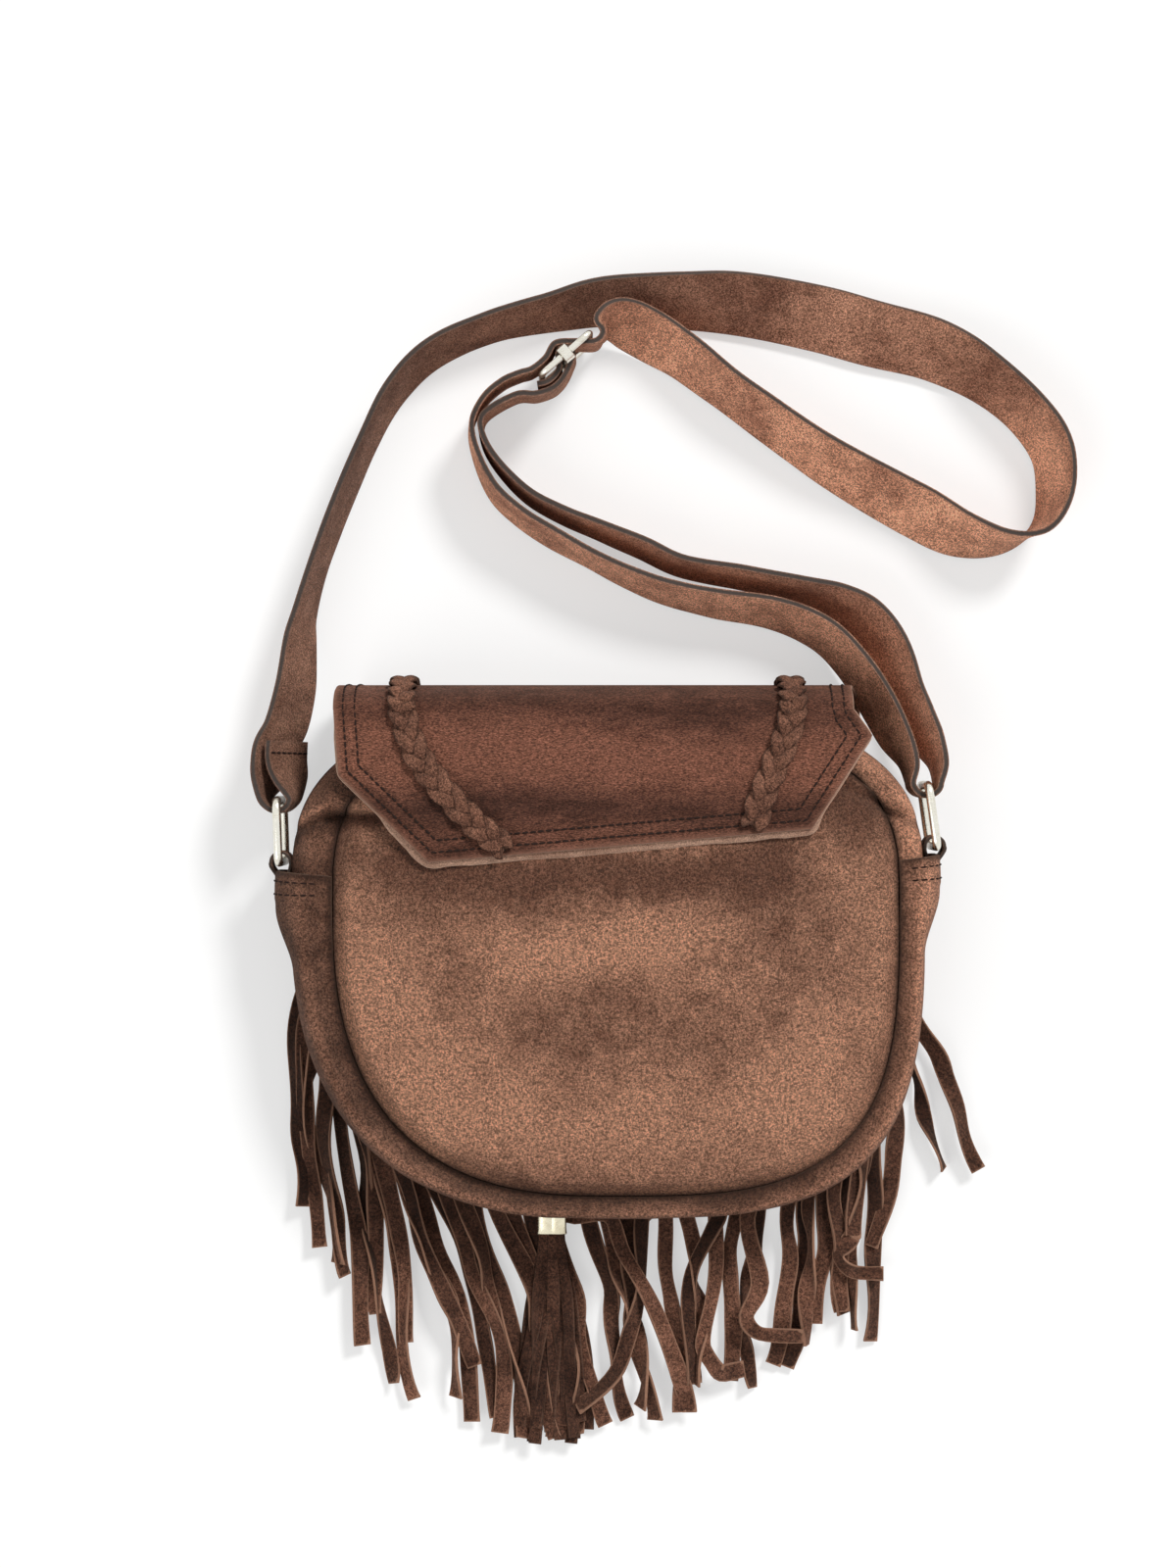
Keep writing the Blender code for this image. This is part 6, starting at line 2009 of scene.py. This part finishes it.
@dataclass
class Studio:
    """Pale floor, soft light and the camera that looks down on the bag."""

    camera_height: float = 1.32
    aim: Plan = (-7.5 * MM, 59.7 * MM)
    seen_height: float = 0.597
    scale_plane: float = 30 * MM
    floor_z: float = -0.6 * MM
    ambient: float = 0.46
    floor_glow: float = 0.5

    def build(self) -> None:
        """Makes the floor, the lamps, the world and the camera."""
        self.floor()
        self.lamps()
        self.world()
        self.camera()

    def floor(self) -> None:
        """A wide pale floor that stays white to the camera away from the bag's shadow."""
        mesh = bpy.data.meshes.new("floor")
        half = 3.0
        corners = [(-half, -half, self.floor_z), (half, -half, self.floor_z),
                   (half, half, self.floor_z), (-half, half, self.floor_z)]
        mesh.from_pydata(corners, [], [(0, 1, 2, 3)])
        floor = bpy.data.objects.new("floor", mesh)
        material = bpy.data.materials.new("pale floor")
        material.use_nodes = True
        shader = material.node_tree.nodes["Principled BSDF"]
        shader.inputs["Base Color"].default_value = (0.95, 0.95, 0.94, 1)
        shader.inputs["Roughness"].default_value = 0.9
        shader.inputs["Specular IOR Level"].default_value = 0.1
        links = Links(material.node_tree)
        glow = links.node("ShaderNodeEmission", Color=(1, 1, 1, 1), Strength=1.0)
        path = links.node("ShaderNodeLightPath")
        share = links.sum(path.outputs["Is Camera Ray"], self.floor_glow, "MULTIPLY")
        both = links.node("ShaderNodeMixShader")
        links.put(both.inputs[0], share)
        links.put(both.inputs[1], shader.outputs[0])
        links.put(both.inputs[2], glow.outputs[0])
        links.put(material.node_tree.nodes["Material Output"].inputs["Surface"], both.outputs[0])
        mesh.materials.append(material)
        bpy.context.scene.collection.objects.link(floor)

    def lamps(self) -> None:
        """A soft key from the upper right and a weaker fill from the left, both far away and even."""
        self.lamp("key", (0.55, 0.75, 0.85), 14.0, 2.45)
        self.lamp("fill", (-0.6, -0.5, 0.8), 40.0, 0.85)

    def lamp(self, name: str, way: tuple[float, float, float], spread: float, strength: float) -> None:
        """Adds a distant lamp.

        Args:
            name: Its name.
            way: The direction that it shines from.
            spread: Its angle in degrees. A larger one gives softer shadows.
            strength: Its strength.
        """
        data = bpy.data.lights.new(name, "SUN")
        data.angle = math.radians(spread)
        data.energy = strength
        thing = bpy.data.objects.new(name, data)
        thing.location = way
        thing.rotation_euler = (-Vector(way)).to_track_quat("-Z", "Y").to_euler()
        bpy.context.scene.collection.objects.link(thing)

    def world(self) -> None:
        """White to the camera and in reflections, and a soft grey light on everything else."""
        world = bpy.data.worlds.new("studio")
        world.use_nodes = True
        bpy.context.scene.world = world
        links = Links(world.node_tree)
        ground = world.node_tree.nodes["Background"]
        ground.inputs["Color"].default_value = (1, 1, 1, 1)
        path = links.node("ShaderNodeLightPath")
        seen = links.sum(path.outputs["Is Camera Ray"], path.outputs["Is Glossy Ray"], "MAXIMUM")
        seen = links.sum(seen, path.outputs["Is Transmission Ray"], "MAXIMUM")
        scaled = links.sum(links.sum(seen, 1 - self.ambient, "MULTIPLY"), self.ambient)
        links.put(ground.inputs["Strength"], scaled)

    def camera(self) -> None:
        """Looks straight down with the bag's top at the top of the picture."""
        data = bpy.data.cameras.new("camera")
        data.sensor_fit = "VERTICAL"
        data.sensor_height = 36.0
        data.lens = 36.0 * (self.camera_height - self.scale_plane) / self.seen_height
        data.clip_start = 0.01
        camera = bpy.data.objects.new("camera", data)
        camera.location = (*self.aim, self.camera_height)
        bpy.context.scene.collection.objects.link(camera)
        bpy.context.scene.camera = camera


def main() -> None:
    """Builds the whole bag and the studio."""
    logging.basicConfig(level=logging.INFO, format="%(message)s")
    finishes = Finishes()
    grower = Grower(finishes)
    body = Body(finishes, grower)
    body.build()
    Zip(finishes, grower).build(body)
    flap = Flap(finishes, grower)
    flap.build()
    Braid("left", ((-38, -52), (-48.5, -44), (-62, -30), (-72, -16), (-77.5, 0)), finishes, flap).build()
    Braid("right", ((54.5, -44), (57, -34), (62, -22), (67, -10), (69.5, 0)), finishes, flap).build()
    Fringe(finishes, grower, flap).build()
    Tassel(finishes, grower).build()
    left = RingAndTab("left", 30 * MM, 26 * MM, 2.0, finishes, grower)
    right = RingAndTab("right", 36 * MM, 32 * MM, 8.0, finishes, grower)
    for ring in (left, right):
        ring.build()
    Strap(finishes, grower, left, right).build()
    Studio().build()
    bpy.context.scene.view_settings.view_transform = "Standard"


if __name__ == "__main__":
    main()
